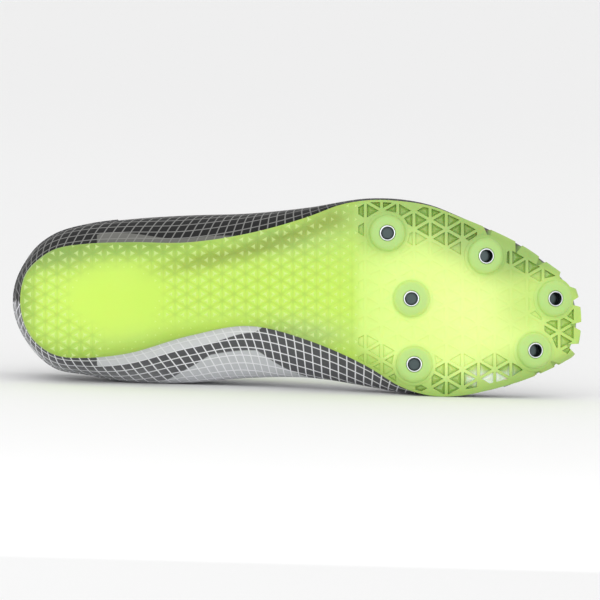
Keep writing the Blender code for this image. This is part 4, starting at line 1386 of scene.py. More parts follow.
def finish_outsole(collection, cutters, material):
    rings = [fine_ring(share) for share in round_shares(FINE_PLATE_STATIONS)]
    points, faces = loft(rings)
    plate = add_mesh("sole_finish", points, faces, collection, material)
    boolean(plate, fine_truss(cutters), "DIFFERENCE")
    cut_grooves(plate, cutters)
    cut_notches(plate, cutters)
    for row in SPIKE_ROWS:
        boolean(plate, fine_boss(row, cutters), "UNION")
    cut_bores(plate, cutters)
    plate.data.materials.clear()
    plate.data.materials.append(material)
    x, y, z = corners_of(plate).T
    boss = boss_share(x, y)
    low = low_face(x, y)
    ahead = sole_share(x) > TRUSS_START
    depth = np.array([pocket_share(a, b) for a, b in zip(x, y)])
    # Mask of the pockets: where their painted shade and the glare go
    pocket = blend(0.15 * MM, 0.9 * MM, z - low) * ahead * (boss < 0.2) * depth
    pocket[z > low + 1.7 * MM] = 0.0
    inner = (z > plate_top(x) - 0.2 * MM) & (np.abs(across_share(x, y)) < 0.975)
    # Painted highlight: the ribs between the pockets made lighter
    rib_highlight = depth * (1.0 - blend(0.0, 0.3, pocket)) * ahead * (z < low + 0.3 * MM)
    paint(plate, toward(sole_colour(x, y), RIB_HIGHLIGHT_COLOUR, 0.22 * rib_highlight), boss, pocket, inner.astype(float))
    return finished(plate, 28.0)


def tread_keep(x, y):
    """Strength of the fine tread: none on the smooth heel centre, faint in the arch."""
    if x <= SOLE_START + 1.0 * MM or x > FORE_STEP - 1.0 * MM:
        return 0.0
    heel = math.hypot((x / LENGTH - 0.180) / 0.095, (y / BALL_WIDTH + 0.01) / 0.195)
    keep = float(blend(0.70, 1.20, heel))
    smooth_edge = float(blend(0.13, 0.17, x / LENGTH) * (1.0 - blend(0.40, 0.44, x / LENGTH)))
    keep *= 1.0 - 0.9 * smooth_edge * float(blend(0.05, 0.14, y / BALL_WIDTH))
    keep *= 1.0 - 0.6 * float(blend(0.50, 0.60, x / LENGTH))
    return keep * (1.0 - float(blend(0.955, 0.985, abs(across_share(x, y)))))


def finish_tread(collection, material):
    """A small pyramid in every cell of a triangular lattice, heel and waist."""
    points = []
    faces = []
    origin = (TREAD_ORIGIN_X, TREAD_ORIGIN_Y)
    for cx, cy, way in lattice(origin, TREAD_EDGE, range(-14, 22), range(-8, 9)):
        size = tread_keep(cx, cy)
        if size < TREAD_LEAST:
            continue
        base = len(points)
        for x, y in triangle(cx, cy, TREAD_PYRAMID * (0.45 + 0.55 * size), way):
            points.append((x, y, float(low_face(x, y)) + 0.05 * MM))
        points.append((cx, cy, float(low_face(cx, cy)) - TREAD_RISE * size))
        faces += [(base, base + 1, base + 3), (base + 1, base + 2, base + 3),
                  (base + 2, base, base + 3), (base, base + 2, base + 1)]
    tread = add_mesh("tread_relief", points, faces, collection, material)
    x, y, z = corners_of(tread).T
    # Painted highlight: each pyramid lighter towards its tip
    lift = 0.42 * blend(0.0, TREAD_RISE, low_face(x, y) - z)
    none = np.zeros(len(x))
    paint(tread, toward(sole_colour(x, y), PYRAMID_HIGHLIGHT_COLOUR, lift), none, none, none)
    return place(tread)


def paint(thing, colour, boss, pocket, inner):
    """Stores what the sole's shader reads: colour, boss, pocket, place and tread strength."""
    x, y, _ = corners_of(thing).T
    colour = toward(colour, BOSS_COLOUR, 0.85 * boss)
    corner_data(thing, "tint", np.hstack([colour, np.ones((len(x), 1))]), "FLOAT_COLOR")
    corner_data(thing, "boss", boss)
    corner_data(thing, "pocket", pocket)
    corner_data(thing, "glare", glare(x, y) * pocket)
    corner_data(thing, "along", x - TREAD_ORIGIN_X)
    corner_data(thing, "across", y - TREAD_ORIGIN_Y)
    corner_data(thing, "inner", inner)
    corner_data(thing, "tread", [tread_keep(a, b) for a, b in zip(x, y)])


def sole_material():
    """Translucent plate: tread lines and stars darkened with painted shade, pockets darkened with
    painted shade, grey bed and a little glare.
    """
    n = Nodes("sole_finish")
    boss = n.read("boss")
    tread = n.read("tread")
    along = n.read("along")
    across = n.read("across")
    high = TREAD_EDGE * math.sqrt(3.0) / 2.0
    lines = []
    for turn in (0.0, 60.0, -60.0):
        run = n.math("ADD", n.times(along, math.cos(math.radians(turn))),
                     n.times(across, math.sin(math.radians(turn))))
        lines.append(n.times(n.math("SUBTRACT", 0.5, n.cell(run, high)), high))
    near = n.math("MINIMUM", n.math("MINIMUM", lines[0], lines[1]), lines[2])
    total = n.math("ADD", n.math("ADD", lines[0], lines[1]), lines[2])
    groove = n.times(n.inverse(n.ramp(near, *GROOVE_RAMP)), tread)
    star_shade = n.times(n.inverse(n.ramp(total, *STAR_RAMP)), tread)
    cloud = n.ramp(n.noise(38.0, 2.0), 0.25, 0.75)
    base = n.mix(n.times(cloud, 0.10), n.read("tint", "Color"), CLOUD_COLOUR)
    # Painted shade along the tread's grooves, and stronger where they cross
    base = n.mix(n.times(groove, 0.10), base, GROOVE_SHADE_COLOUR)
    base = n.mix(n.times(star_shade, 0.25), base, STAR_SHADE_COLOUR)
    # Painted shade in the pockets
    base = n.mix(n.times(n.read("pocket"), 0.42), base, POCKET_SHADE_COLOUR)
    base = n.mix(n.read("inner"), base, INNER_COLOUR)
    base = n.mix(n.times(n.read("glare"), 0.95), base, GLARE_COLOUR)
    rough = n.math("MULTIPLY_ADD", boss, 0.20, 0.30)
    height = n.math("ADD", n.times(n.noise(900.0, 2.0), GRAIN_LIFT), n.times(groove, GROOVE_LIFT))
    normal = n.bump(height, 1.0, 1.0, n.rounded(EDGE_ROUND))
    return n.finish(Base_Color=base, Roughness=rough, Normal=normal, Subsurface_Weight=0.25,
                    Subsurface_Scale=0.0035, Coat_Weight=0.30, Coat_Roughness=0.20, IOR=1.5)


def tread_material():
    n = Nodes("tread_finish")
    # Painted highlight: the pyramids lightened all over
    return n.finish(Base_Color=n.mix(0.34, n.read("tint", "Color"), TREAD_HIGHLIGHT_COLOUR), Roughness=0.32,
                    Coat_Weight=0.3, Coat_Roughness=0.2, IOR=1.5)


def overlay_lines(first, step):
    """Two close lines at every edge of an overlay, from the rows' columns first and first + 1."""
    lines = []
    for row in OVERLAY_ROWS:
        for end, sign in ((row[first], -1), (row[first + 1], 1)):
            if 0.0 < end < 1.0:
                lines += [end, end + sign * step]
    return lines


def wall_grid(shares, columns):
    """Points round the wall from foot to foot, and share, height, side and both runs of each."""
    rails = {-1: [], 1: []}
    for side, rail in rails.items():
        along = 0.0
        for share in shares:
            line = [wall(share, side, up) for up in columns]
            quarter = line[len(columns) // 4]
            if rail:
                along += float(np.linalg.norm(quarter - rail[-1][0][len(columns) // 4]))
            rail.append((line, along, walked(line)))
    points = []
    tags = []
    for i, share in enumerate(shares):
        for side in (-1, 1):
            line, along, up_run = rails[side][i]
            for k in list(range(len(columns)))[::-side]:
                points.append(line[k])
                tags.append((share, columns[k], side, along, float(up_run[k])))
    return points, np.array(tags)


def finish_upper(collection, cutters, material):
    """The wall again, finely divided, with its weave laid out in metres along and up."""
    shares = round_shares(FINE_STATIONS) + overlay_lines(1, 0.0016)
    shares += [THROAT_SHARE, THROAT_SHARE - 0.002, THROAT_SHARE - 0.005]
    shares = sorted(set(round(s, 6) for s in shares))
    columns = [i / FINE_COLUMNS for i in range(FINE_COLUMNS + 1)] + overlay_lines(3, 0.006)
    columns = sorted(set(round(c, 6) for c in columns + [0.008, 0.992, GIRTH_UP]))
    points, tags = wall_grid(shares, columns)
    faces = grid_faces(len(shares), 2 * len(columns), len(columns) - 1)
    points, faces, first = weld(points, faces)
    share, up, side, along, upward = tags[first].T
    normals = point_normals(points, faces)
    middle = np.array([LENGTH * 0.4, 0.0, INSTEP * 0.3])
    if np.mean(np.einsum("ij,ij->i", normals, points - middle)) < 0:
        normals = -normals
    lift = np.array([raised(a, b) for a, b in zip(share, up)])
    skin = points + normals * (lift + crease(points, up))[:, None]
    thick = WALL + np.array([pad(a, b) for a, b in zip(share, up)])
    lining = points - normals * thick[:, None]
    foot = up == 0.0
    lining[foot, 2] = np.maximum(lining[foot, 2], points[foot, 2] + 0.05 * MM)
    upper = plain_mesh("upper_finish", *shell(skin, lining, faces), collection, material)
    x = points[:, 0]
    lean = 0.62 - 0.40 * blend(0.30, 0.55, x / LENGTH)
    corner_data(upper, "weave_u", np.tile(along - upward * lean, 2))
    corner_data(upper, "weave_v", np.tile(upward, 2))
    corner_data(upper, "inside", np.repeat((0.0, 1.0), len(points)))
    corner_data(upper, "film", np.tile(lift / OVERLAY, 2))
    for name, value in upper_zones(x, upward, side > 0, share, up).items():
        corner_data(upper, name, np.tile(value, 2))
    cut_eyelets_fine(upper, cutters)
    return finished(upper, 40.0)


def cut_eyelets_fine(upper, cutters):
    for k, share in enumerate(eyelet_shares()):
        for side in (-1, 1):
            spot = wall(share, side, EYELET_UP)
            normal = wall_normal(share, side, EYELET_UP)
            quaternion = Vector(normal).to_track_quat("Z", "Y")
            turn = Matrix.Translation(Vector(spot)) @ quaternion.to_matrix().to_4x4()
            reach = 2.0 * EYELET_RADIUS
            rise = ((0.0, -reach), (EYELET_RADIUS, -reach), (EYELET_RADIUS, reach), (0.0, reach))
            points, faces = revolve(rise, EYELET_SIDES, turn)
            cutter = add_mesh("fine_eyelet_%d_%d" % (k, side + 1), points, faces, cutters)
            boolean(upper, cutter, "DIFFERENCE")


def crease(points, up):
    """Soft folds where the ankle gives and where the ball bends, in metres out of the wall."""
    x = points[:, 0] / LENGTH
    place_x, reach, length, high = BALL_FOLDS
    ball = np.exp(-((x - place_x) / reach) ** 2) * blend(0.45, 0.7, up)
    wave = np.sin(points[:, 0] / length) * high * ball
    place_x, reach, length, high = ANKLE_FOLDS
    ankle = np.exp(-((x - place_x) / reach) ** 2) * blend(0.40, 0.6, up)
    ankle *= 1 - blend(0.85, 0.95, up)
    return wave + np.sin(points[:, 2] / length + 1.3) * high * ankle


def upper_zones(x, v, medial, share, up):
    """Signed distances, in metres, into each printed area of the weave, and its tones, with how much
    painted shade each side takes.
    """
    place_x = x / LENGTH
    inner_rows = 2.0 - 0.9 * blend(0.34, 0.43, place_x) - 1.3 * blend(0.425, 0.445, place_x)
    outer_rows = 2.0 - 1.1 * blend(0.17, 0.30, place_x) - 1.1 * blend(0.34, 0.44, place_x)
    rows = np.where(medial, inner_rows, outer_rows)
    knots, lows, highs = np.array(PANEL_ROWS).T
    low = np.interp(place_x, knots, lows)
    high = np.interp(place_x, knots, highs)
    panel = np.minimum((up - low), (high - up)) * 85 * MM
    fall = (1.0 - blend(0.50, 0.92, up)) * (1.0 - blend(0.95, 0.995, place_x))
    sign = np.where(medial, 1.0, -1.0)
    pale = blend(0.06, 0.30, up) * (1.0 - blend(0.20, 0.32, place_x)) * medial
    return {
        "band": np.minimum(x - 0.147 * LENGTH, rows * WEAVE_PITCH - v),
        "panel": np.where(medial, panel, -1.0),
        "collar": np.where(share < 0.34, (up - 0.93) * 30 * MM, -1.0),
        # Painted shade: 1 keeps the medial side's own tones, 0 gives the lateral side its shaded
        # copies
        "light": 0.5 + 0.5 * sign * fall,
        "pale": pale * (1.0 - blend(0.55, 0.85, up)),
        # The darkest areas of the weave, deepened with painted shade
        "shaded_black": -sign * (place_x - 0.56) * fall,
        "toe": blend(0.40, 0.60, place_x),
    }


# Light panel on the medial wall: along, lowest and highest share up the wall
PANEL_ROWS = (
    (0.19, 0.420, 0.420),
    (0.245, 0.280, 0.520),
    (0.300, 0.170, 0.600),
    (0.345, 0.110, 0.630),
    (0.430, 0.105, 0.640),
    (0.500, 0.225, 0.610),
    (0.600, 0.430, 0.520),
    (0.640, 0.480, 0.480),
)


def upper_material():
    """Ripstop: raised threads over striped cells, in the tones of each side and area; the lateral
    side's tones carry painted shade.
    """
    n = Nodes("upper_finish")
    u = n.read("weave_u")
    v = n.read("weave_v")
    film = n.read("film")
    medial = n.read("light")

    def thread(coordinate, half):
        return n.ramp(n.cell(coordinate, WEAVE_PITCH), 0.5 - half * 1.35, 0.5 - half * 0.75)

    line = n.math("MAXIMUM", thread(u, 0.070), thread(v, 0.062))
    stripe = n.cell(v, WEAVE_PITCH / WEAVE_STRIPES)
    band = n.ramp(n.read("band"), -BAND_EDGE, BAND_EDGE)
    panel = n.ramp(n.read("panel"), -PANEL_EDGE, PANEL_EDGE)
    collar = n.ramp(n.read("collar"), -PANEL_EDGE, PANEL_EDGE)
    # The darkest areas of the weave, deepened with painted shade
    shaded_black = n.ramp(n.read("shaded_black"), -0.10, 0.08)
    dark = n.mix(n.times(stripe, 0.6), *MEDIAL_DARK)
    # Painted shade: the lateral cells are darker copies of the medial ones
    lateral = n.mix(shaded_black, n.mix(0.9, dark, LATERAL_SHADED_GREY), LATERAL_BLACK_SHADED)
    cell = n.mix(panel, n.mix(medial, lateral, dark), n.mix(n.times(stripe, 0.5), *MEDIAL_LIGHT))
    cell = n.mix(n.times(n.read("pale"), 0.80), cell, MEDIAL_PALE)
    # Painted shade on the lateral copy of the band
    cell = n.mix(band, cell, n.mix(medial, BAND_LATERAL_SHADED, BAND_MEDIAL))
    # Painted shade on the lateral threads, the band's threads there and the threads over the darkest
    # areas
    thread_colour = n.mix(medial, n.mix(shaded_black, THREAD_LATERAL_SHADED, THREAD_BLACK_SHADED), THREAD_MEDIAL)
    thread_colour = n.mix(n.times(band, n.inverse(medial)), thread_colour, THREAD_BAND_SHADED)
    colour = n.mix(line, cell, thread_colour)
    # Film over the darkest areas, deepened with painted shade
    film_tone = n.mix(shaded_black, n.mix(n.read("toe"), FILM_HEEL, FILM_TOE), FILM_BLACK_SHADED)
    colour = n.mix(n.times(film, 0.42), colour, film_tone)
    colour = n.mix(collar, colour, COLLAR_COLOUR)
    colour = n.mix(n.read("inside"), colour, LINING_COLOUR)
    height = n.math("MULTIPLY_ADD", line, 1.0, n.times(stripe, 0.25))
    rough = n.math("MULTIPLY_ADD", line, -0.08, 0.52)
    rough = n.math("SUBTRACT", rough, n.times(film, 0.10))
    gloss = n.math("MULTIPLY_ADD", medial, 0.35, 0.15)
    return n.finish(Base_Color=colour, Roughness=rough, Normal=n.bump(height, WEAVE_LIFT, 0.6),
                    Specular_IOR_Level=gloss, Coat_Weight=n.times(medial, 0.22), Coat_Roughness=0.3)


def cloth_material(name, colour, second, scale):
    n = Nodes(name)
    grain = n.noise(scale, 3.0)
    base = n.mix(n.ramp(grain, 0.35, 0.65), colour, second)
    return n.finish(Base_Color=base, Roughness=0.85, Normal=n.bump(grain, CLOTH_LIFT, 0.5),
                    Sheen_Weight=0.15)


def lace_material():
    """Flat woven cord: chevrons of thread from the place along and across the lace."""
    n = Nodes("lace_finish")
    aside = n.times(n.math("ABSOLUTE", n.read("lace_across")), 0.8)
    ridge = n.cell(n.math("ADD", n.read("lace_along"), aside), LACE_CHEVRON)
    return n.finish(Base_Color=n.mix(ridge, *LACE_COLOURS), Roughness=0.75, Sheen_Weight=0.2,
                    Normal=n.bump(ridge, LACE_LIFT, 0.8))


def even_path(points, normals, step):
    """Smooth curve through the points, cut into even steps, with its normals."""
    points = np.array(points)
    normals = np.array(normals)
    run = walked(points)
    count = max(int(run[-1] / step), 4)
    at = np.linspace(0.0, run[-1], count + 1)
    path = np.stack([smooth(run, points[:, k], at) for k in range(3)], axis=1)
    turn = np.stack([np.interp(at, run, normals[:, k]) for k in range(3)], axis=1)
    return path, turn / np.linalg.norm(turn, axis=1)[:, None], at


def lace_run(share_from, share_to, side_from, lift):
    """A crossing with both ends drawn down through their eyelets."""
    path, normals = over_instep(share_from, share_to, side_from, lift)
    for end, nxt in ((0, 1), (-1, -2)):
        hole = path[end] - normals[end] * lift
        out = unit(path[end] - path[nxt])
        bend = hole + normals[end] * (lift * 0.75) + out * 0.9 * MM
        down = hole - normals[end] * (WALL + 1.2 * MM) + out * 0.5 * MM
        path[end] = path[end] + (path[nxt] - path[end]) * 0.22
        if end == 0:
            path = [down, bend] + path
            normals = [out, unit(out + normals[0])] + normals
        else:
            path = path + [bend, down]
            normals = normals + [unit(out + normals[-1]), out]
    return path, normals


def finish_laces(collection, material):
    """Every crossing as a soft flat cord that goes down into an eyelet at each end."""
    shares = eyelet_shares()
    base = OVERLAY + 1.2 * GAP + LACE_THICK / 2
    runs = [(shares[-1], shares[-1], -1, base)]
    for k in range(EYELET_PAIRS - 1):
        for side in (-1, 1):
            above = LACE_STACK * 2.2 * ((1 + side) / 2 + 0.43 * (k % 2))
            runs.append((shares[k], shares[k + 1], side, base + above))
    points = []
    faces = []
    along = []
    across = []
    sides = LACE_SIDES
    for run in runs:
        path, normals, at = even_path(*lace_run(*run), LACE_STEP)
        total = at[-1]
        rings = []
        for i, (point, normal) in enumerate(zip(path, normals)):
            way = unit(path[min(i + 1, len(path) - 1)] - path[max(i - 1, 0)])
            side = unit(np.cross(way, normal))
            top = unit(np.cross(side, way))
            near = min(at[i], total - at[i])
            narrow = 0.62 + 0.38 * float(blend(1.5 * MM, 8.0 * MM, near))
            ring = []
            for k in range(sides):
                angle = 2.0 * math.pi * k / sides
                u = math.copysign(abs(math.cos(angle)) ** 0.6, math.cos(angle))
                v = math.copysign(abs(math.sin(angle)) ** 0.8, math.sin(angle))
                ring.append(point + side * u * LACE_WIDTH / 2 * narrow
                            + top * v * LACE_THICK / 2 / narrow)
                along.append(at[i])
                across.append(u * LACE_WIDTH / 2)
            rings.append(ring)
        base_index = len(points)
        points += [p for ring in rings for p in ring]
        for i in range(len(rings) - 1):
            for k in range(sides):
                m = (k + 1) % sides
                a = base_index + i * sides
                faces.append((a + k, a + m, a + sides + m, a + sides + k))
        faces.append(tuple(base_index + k for k in reversed(range(sides))))
        faces.append(tuple(len(points) - sides + k for k in range(sides)))
    laces = plain_mesh("lace_crossings", points, faces, collection, material)
    corner_data(laces, "lace_along", along)
    corner_data(laces, "lace_across", across)
    return finished(laces, 60.0)


def finish_insole(collection, material):
    """The sock liner again, out to the lining, with a soft cupped edge."""
    rings = []
    for share in round_shares(INSOLE_STATIONS):
        inset = INSOLE_INSET + toe_inset(share)
        a = inset_line(share, -1, inset)
        b = inset_line(share, 1, inset)
        ring = []
        for s, lift in INSOLE_SECTION:
            x, y = a + (b - a) * s
            ring.append(np.array([x, y, float(plate_top(x)) + GAP + lift * INSOLE_THICK]))
        rings.append(ring)
    points, faces = loft(rings)
    insole = add_mesh("insole_finish", points, faces, collection, material)
    return finished(insole, 50.0)


def stitch(points, faces, centre, run, normal, size):
    """One stitch: a small eight-sided loaf laid along the run."""
    long, wide, high = size
    side = unit(np.cross(normal, run))
    base = len(points)
    for along, swell in ((-0.5, 0.35), (-0.32, 1.0), (0.32, 1.0), (0.5, 0.35)):
        for k in range(6):
            angle = math.pi * (k / 5.0)
            points.append(centre + run * along * long + side * math.cos(angle) * wide / 2 * swell
                          + normal * (math.sin(angle) * high * swell - 0.1 * MM))
    for i in range(3):
        for k in range(5):
            a = base + i * 6 + k
            faces.append((a, a + 1, a + 7, a + 6))
    faces.append(tuple(base + k for k in reversed(range(6))))
    faces.append(tuple(base + 18 + k for k in range(6)))


def finish_stitches(collection, material):
    """Three rows of stitches on each side of the shoe."""
    points = []
    faces = []
    for side in (-1, 1):
        for up, start, end in SEAM_ROWS:
            path = []
            normals = []
            for share in np.linspace(start, end, SEAM_POINTS):
                normal = wall_normal(max(share, 0.005), side, up)
                path.append(wall(share, side, up) + normal * (raised(share, up) + 0.02 * MM))
                normals.append(normal)
            path, normals, _ = even_path(path, normals, STITCH_STEP)
            for here, there, normal in zip(path, path[1:], normals):
                run = unit(there - here)
                stitch(points, faces, 0.5 * (here + there), run, normal, STITCH_SIZE)
    stitches = add_mesh("stitches", points, faces, collection, material)
    return finished(stitches, 60.0)


def even_row(line, count):
    """A row of points, smoothed and spread evenly to the count."""
    line = np.array(line)
    gaps = np.linalg.norm(np.diff(line, axis=0), axis=1)
    run = np.concatenate([[0.0], np.cumsum(np.maximum(gaps, 1e-5))])
    at = np.linspace(0.0, run[-1], count)
    return np.stack([np.interp(at, run, line[:, k]) for k in range(3)], axis=1)


def eased(grid, rounds):
    """The inner points of a grid drawn to the mean of their neighbours, its border kept."""
    for _ in range(rounds):
        inner = (grid[:-2, 1:-1] + grid[2:, 1:-1] + grid[1:-1, :-2] + grid[1:-1, 2:]) / 4.0
        grid[1:-1, 1:-1] = 0.5 * grid[1:-1, 1:-1] + 0.5 * inner
        grid[1:-1, 0] = 0.5 * grid[1:-1, 0] + 0.25 * (grid[:-2, 0] + grid[2:, 0])
        grid[1:-1, -1] = 0.5 * grid[1:-1, -1] + 0.25 * (grid[:-2, -1] + grid[2:, -1])
    return grid


def tongue_grid():
    """Rows of the tongue's outer face: under the laces, then its end past the top eyelets."""
    rows = [even_row(tongue_line(share), TONGUE_COLUMNS)
            for share in np.linspace(0.672, 0.355, TONGUE_ROWS)]
    last = rows[-1]
    middle = TONGUE_COLUMNS // 2
    run = unit(last[middle] - rows[-5][middle])
    rise = np.array([-0.50, 0.0, 0.87])
    for far in np.linspace(0.08, 1.0, TONGUE_END_ROWS):
        keep = float(np.interp(far, (0.0, 0.30, 0.65, 0.88, 1.0), (1.0, 0.74, 0.74, 0.68, 0.50)))
        way = run * (1 - 0.6 * far * far) + rise * 0.6 * far * far
        row = last + way * TONGUE_RUN * far
        centre = row[middle]
        close = 1.0 - 0.45 * float(blend(0.62, 1.0, far))
        rows.append(centre + (row - centre) * np.array([close, keep, close]))
    return eased(np.array(rows), 6)


def finish_tongue(collection, material):
    """The tongue again: fine rows, round edges, and a padded end past the top eyelets."""
    grid = tongue_grid()
    count_i, count_j = grid.shape[:2]
    points = grid.reshape(-1, 3)
    faces = grid_faces(count_i, count_j)
    normals = point_normals(points, faces)
    if normals[:, 2].mean() < 0:
        normals = -normals
    i = np.repeat(np.arange(count_i), count_j)
    j = np.tile(np.arange(count_j), count_i)
    across = np.abs(2.0 * j / (count_j - 1) - 1.0)
    end = np.minimum(i, count_i - 1 - i) / 4.0
    body = np.sqrt(np.clip(1.0 - across ** 12, 0.0, 1.0)) * np.sqrt(np.clip(end, 0.0, 1.0))
    body = np.maximum(body, 0.12)
    pad_share = blend(41, 47, i) * (1.0 - blend(51, 55, i)) * (1.0 - blend(0.55, 0.90, across))
    sunk = 0.25 * TONGUE_THICK * (1.0 - body)
    front = points + normals * (TONGUE_PAD * pad_share - sunk)[:, None]
    thick = TONGUE_THICK * (0.5 + 0.5 * body) - sunk
    back = points - normals * (thick + TONGUE_PAD * pad_share)[:, None]
    tongue = add_mesh("tongue_finish", *shell(front, back, faces), collection, material)
    along = walked(grid[:, count_j // 2])
    side_run = np.linalg.norm(np.diff(grid, axis=1), axis=2)
    side_run = np.hstack([np.zeros((count_i, 1)), np.cumsum(side_run, axis=1)])
    edge_away = np.minimum(side_run, side_run[:, -1:] - side_run).reshape(-1)
    edge_away = np.minimum(edge_away, (along[-1] - along)[i])
    corner_data(tongue, "tongue_along", np.tile(along[i], 2))
    corner_data(tongue, "tongue_across", np.tile(side_run.reshape(-1), 2))
    corner_data(tongue, "tongue_edge", np.tile(edge_away, 2))
    return finished(tongue, 60.0)


def tongue_material():
    """Knit cloth with a bound edge and a dashed seam beside it."""
    n = Nodes("tongue_finish")
    along = n.read("tongue_along")
    across = n.read("tongue_across")
    away = n.read("tongue_edge")

    def ridge(coordinate, pitch):
        return n.times(n.cell(coordinate, pitch), 2.0)

    knit = n.times(ridge(along, KNIT_PITCH), ridge(across, KNIT_PITCH))
    off_seam = n.math("ABSOLUTE", n.math("SUBTRACT", away, SEAM_AWAY))
    seam = n.inverse(n.ramp(off_seam, *SEAM_RAMP))
    dash = n.ramp(ridge(n.math("ADD", along, across), STITCH_STEP), 0.25, 0.32)
    thread = n.times(seam, dash)
    binding = n.inverse(n.ramp(away, *BINDING_RAMP))
    base = n.mix(knit, *KNIT_COLOURS)
    base = n.mix(binding, base, BINDING_COLOUR)
    base = n.mix(thread, base, SEAM_COLOUR)
    edge_lift = n.math("ADD", n.times(binding, BINDING_LIFT), n.times(thread, SEAM_LIFT))
    height = n.math("ADD", n.times(knit, KNIT_LIFT), edge_lift)
    return n.finish(Base_Color=base, Roughness=0.85, Sheen_Weight=0.15,
                    Normal=n.bump(height, 1.0, 0.8))


def finish_rims(collection, material):
    """A low pressed ring round every eyelet."""
    points = []
    faces = []
    size = len(EYELET_SECTION)
    for share in eyelet_shares():
        for side in (-1, 1):
            normal = wall_normal(share, side, EYELET_UP)
            spot = wall(share, side, EYELET_UP) + normal * raised(share, EYELET_UP)
            first = unit(np.cross(normal, np.array([0.0, 1.0, 0.0])))
            second = np.cross(normal, first)
            base = len(points)
            for k in range(EYELET_SIDES):
                angle = 2.0 * math.pi * k / EYELET_SIDES
                out = first * math.cos(angle) + second * math.sin(angle)
                here = base + k * size
                there = base + (k + 1) % EYELET_SIDES * size
                for j, (wide, high) in enumerate(EYELET_SECTION):
                    m = (j + 1) % size
                    reach = EYELET_RADIUS + (wide - 0.1) * MM
                    points.append(spot + out * reach + normal * high * MM)
                    faces.append((here + j, here + m, there + m, there + j))
    rims = add_mesh("eyelet_rims", points, faces, collection, material)
    return finished(rims, 50.0)


def steel_material():
    n = Nodes("socket_finish")
    deep = n.read("deep")
    # Painted shade inside the bore, with a painted glint where gleam is set
    colour = n.mix(deep, STEEL_COLOUR, n.mix(n.read("gleam"), *BORE_SHADE_GLINT_COLOURS))
    return n.finish(Base_Color=colour, Roughness=n.math("MULTIPLY_ADD", deep, 0.10, 0.18),
                    Metallic=1.0, Normal=n.bump(n.noise(1500.0, 2.0), STEEL_LIFT, 0.4))


def finish_sockets(collection, material):
    """Each insert again, round and with a cut thread, with painted shade down its bore and a painted
    glint on one side of it near the mouth.
    """
    things = []
    for row in SPIKE_ROWS:
        low = SOCKET_SINK - 0.1 * MM
        bore = SOCKET_MOUTH - SOCKET_CHAMFER + 0.45 * MM
        rise = [(0.0, SOCKET_SINK + SOCKET_DEPTH), (SOCKET_RADIUS, SOCKET_SINK + SOCKET_DEPTH)]
        rise += [(SOCKET_RADIUS - wide * MM, low + high * MM) for wide, high in SOCKET_EDGE]
        rise += [(SOCKET_MOUTH + wide * MM, low + high * MM) for wide, high in MOUTH_EDGE]
        rise.append((bore, low + THREAD_START))
        depth = THREAD_START
        while depth + 2.0 * THREAD_STEP < SOCKET_BORE:
            rise.append((bore - THREAD_DEEP, low + depth + THREAD_STEP))
            depth += 2.0 * THREAD_STEP
            rise.append((bore, low + depth))
        rise += [(bore, low + SOCKET_BORE), (0.0, low + SOCKET_BORE)]
        points, faces = revolve(rise, FINE_SIDES, spike_frame(row))
        thing = add_mesh("socket_" + row[0], points, faces, collection, material)
        back = spike_frame(row).inverted()
        local = np.array([(back @ v.co)[:] for v in thing.data.vertices])
        away = np.maximum(np.hypot(local[:, 0], local[:, 1]), MM * 0.01)
        inside = (away < SOCKET_MOUTH + 0.15 * MM) & (local[:, 2] > low - 0.01 * MM)
        facing = (-0.45 * local[:, 0] - 0.89 * local[:, 1]) / away
        shallow = (away > bore - 0.1 * MM) & (local[:, 2] < low + 1.4 * MM)
        # Painted shade marks the inside of the bore; gleam is a painted glint on one side near the
        # mouth
        corner_data(thing, "deep", inside.astype(float))
        corner_data(thing, "gleam", blend(0.45, 0.85, facing) * shallow)
        things.append((finished(thing, 30.0), "spike_socket_" + row[0]))
    return things


def soft_light(name, where, target, size, power):
    data = bpy.data.lights.new(name, "AREA")
    data.shape = "RECTANGLE"
    data.size, data.size_y = size
    data.energy = power
    lamp = bpy.data.objects.new(name, data)
    bpy.context.scene.collection.objects.link(lamp)
    lamp.location = where
    lamp.rotation_euler = (Vector(target) - lamp.location).to_track_quat("-Z", "Y").to_euler()


# World, floor, lights and camera. Lights: name, place, target, size and power
WORLD_LIGHT = 0.95
FLOOR_COLOUR = (0.90, 0.90, 0.90)
FLOOR_HALF = 4.0
LIGHTS = (
    ("front_low", (0.10, -1.0, 0.22), (0.0, 0.0, 0.03), (1.6, 0.35), 1.6),
    ("front_high", (-0.5, -1.3, 1.1), (0.0, 0.0, 0.05), (1.0, 1.0), 2.0),
    ("behind", (0.3, 1.5, 1.2), (0.0, 0.1, 0.05), (1.4, 1.0), 0.5),
)
CAMERA_AWAY = 8.0
SENSOR_WIDE = 36.0
PHOTO_WIDE = 600 * 0.4921 * MM


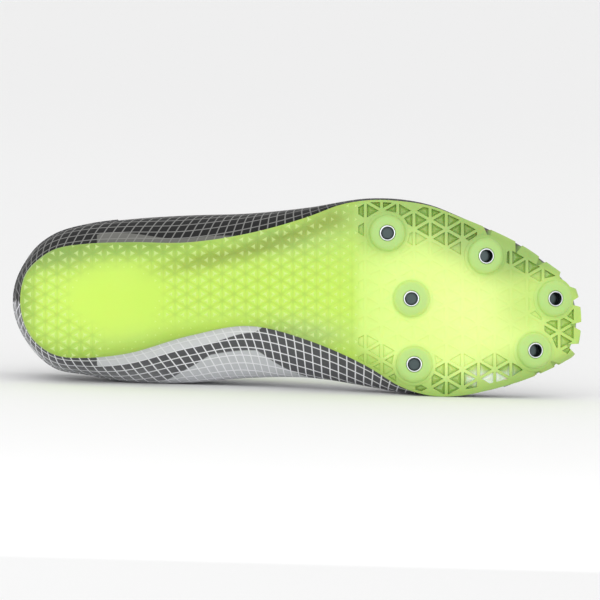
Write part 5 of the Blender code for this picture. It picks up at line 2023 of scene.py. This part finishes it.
def studio():
    scene = bpy.context.scene
    scene.view_settings.view_transform = "Standard"
    scene.view_settings.look = "None"
    world = bpy.data.worlds.new("studio")
    scene.world = world
    world.use_nodes = True
    world.node_tree.nodes["Background"].inputs[0].default_value = (1.0, 1.0, 1.0, 1.0)
    world.node_tree.nodes["Background"].inputs[1].default_value = WORLD_LIGHT
    floor = bpy.data.meshes.new("floor")
    corners = [(FLOOR_HALF * x, FLOOR_HALF * y, 0) for x, y in ((-1, -1), (1, -1), (1, 1), (-1, 1))]
    floor.from_pydata(corners, [], [(0, 1, 2, 3)])
    ground = bpy.data.objects.new("floor", floor)
    scene.collection.objects.link(ground)
    floor.materials.append(Nodes("floor").finish(Base_Color=FLOOR_COLOUR, Roughness=0.9))
    for row in LIGHTS:
        soft_light(*row)


def camera():
    """Square on to the sole as in the photo, its lateral edge up."""
    target = TURN @ np.array([0.5042 * LENGTH, 0.005 * BALL_WIDTH, 0.0]) + SHIFT
    out = TURN @ np.array([0.0, 0.0, -1.0])
    up = TURN @ np.array([0.0, -1.0, 0.0])
    data = bpy.data.cameras.new("camera")
    data.sensor_width = SENSOR_WIDE
    data.lens = SENSOR_WIDE * CAMERA_AWAY / PHOTO_WIDE
    data.clip_end = 20.0
    thing = bpy.data.objects.new("camera", data)
    bpy.context.scene.collection.objects.link(thing)
    turn = np.stack([np.cross(up, out), up, out], axis=1)
    thing.matrix_world = rigid(turn, target + out * CAMERA_AWAY)
    bpy.context.scene.camera = thing


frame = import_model()
TURN, SHIFT = shoe_turn()
camera()
studio()
shoe = bpy.data.collections.new("shoe_finish")
cutters = bpy.data.collections.new("cutters")
bpy.context.scene.collection.children.link(shoe)
bpy.context.scene.collection.children.link(cutters)

sole = finish_outsole(shoe, cutters, sole_material())
tread = finish_tread(shoe, tread_material())
for piece in (sole, tread):
    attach(piece, "root")
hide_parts("outsole")

for piece, node in finish_sockets(shoe, steel_material()):
    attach(piece, "root")
    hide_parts(node)

upper = finish_upper(shoe, cutters, upper_material())
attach(upper, "root")
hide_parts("upper")

laces = finish_laces(shoe, lace_material())
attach(laces, "root")
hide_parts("laces")

insole = finish_insole(shoe, cloth_material("insole_finish", *INSOLE_COLOURS, 2500.0))
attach(insole, "root")
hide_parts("insole")

stitches = finish_stitches(shoe, cloth_material("stitch_finish", *STITCH_COLOURS, 3000.0))
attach(stitches, "root")

tongue = finish_tongue(shoe, tongue_material())
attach(tongue, "root")
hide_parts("tongue")

rims = finish_rims(shoe, cloth_material("rim_finish", *EYELET_COLOURS, 1500.0))
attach(rims, "root")

for cutter in list(cutters.objects):
    bpy.data.objects.remove(cutter, do_unlink=True)
bpy.data.collections.remove(cutters)
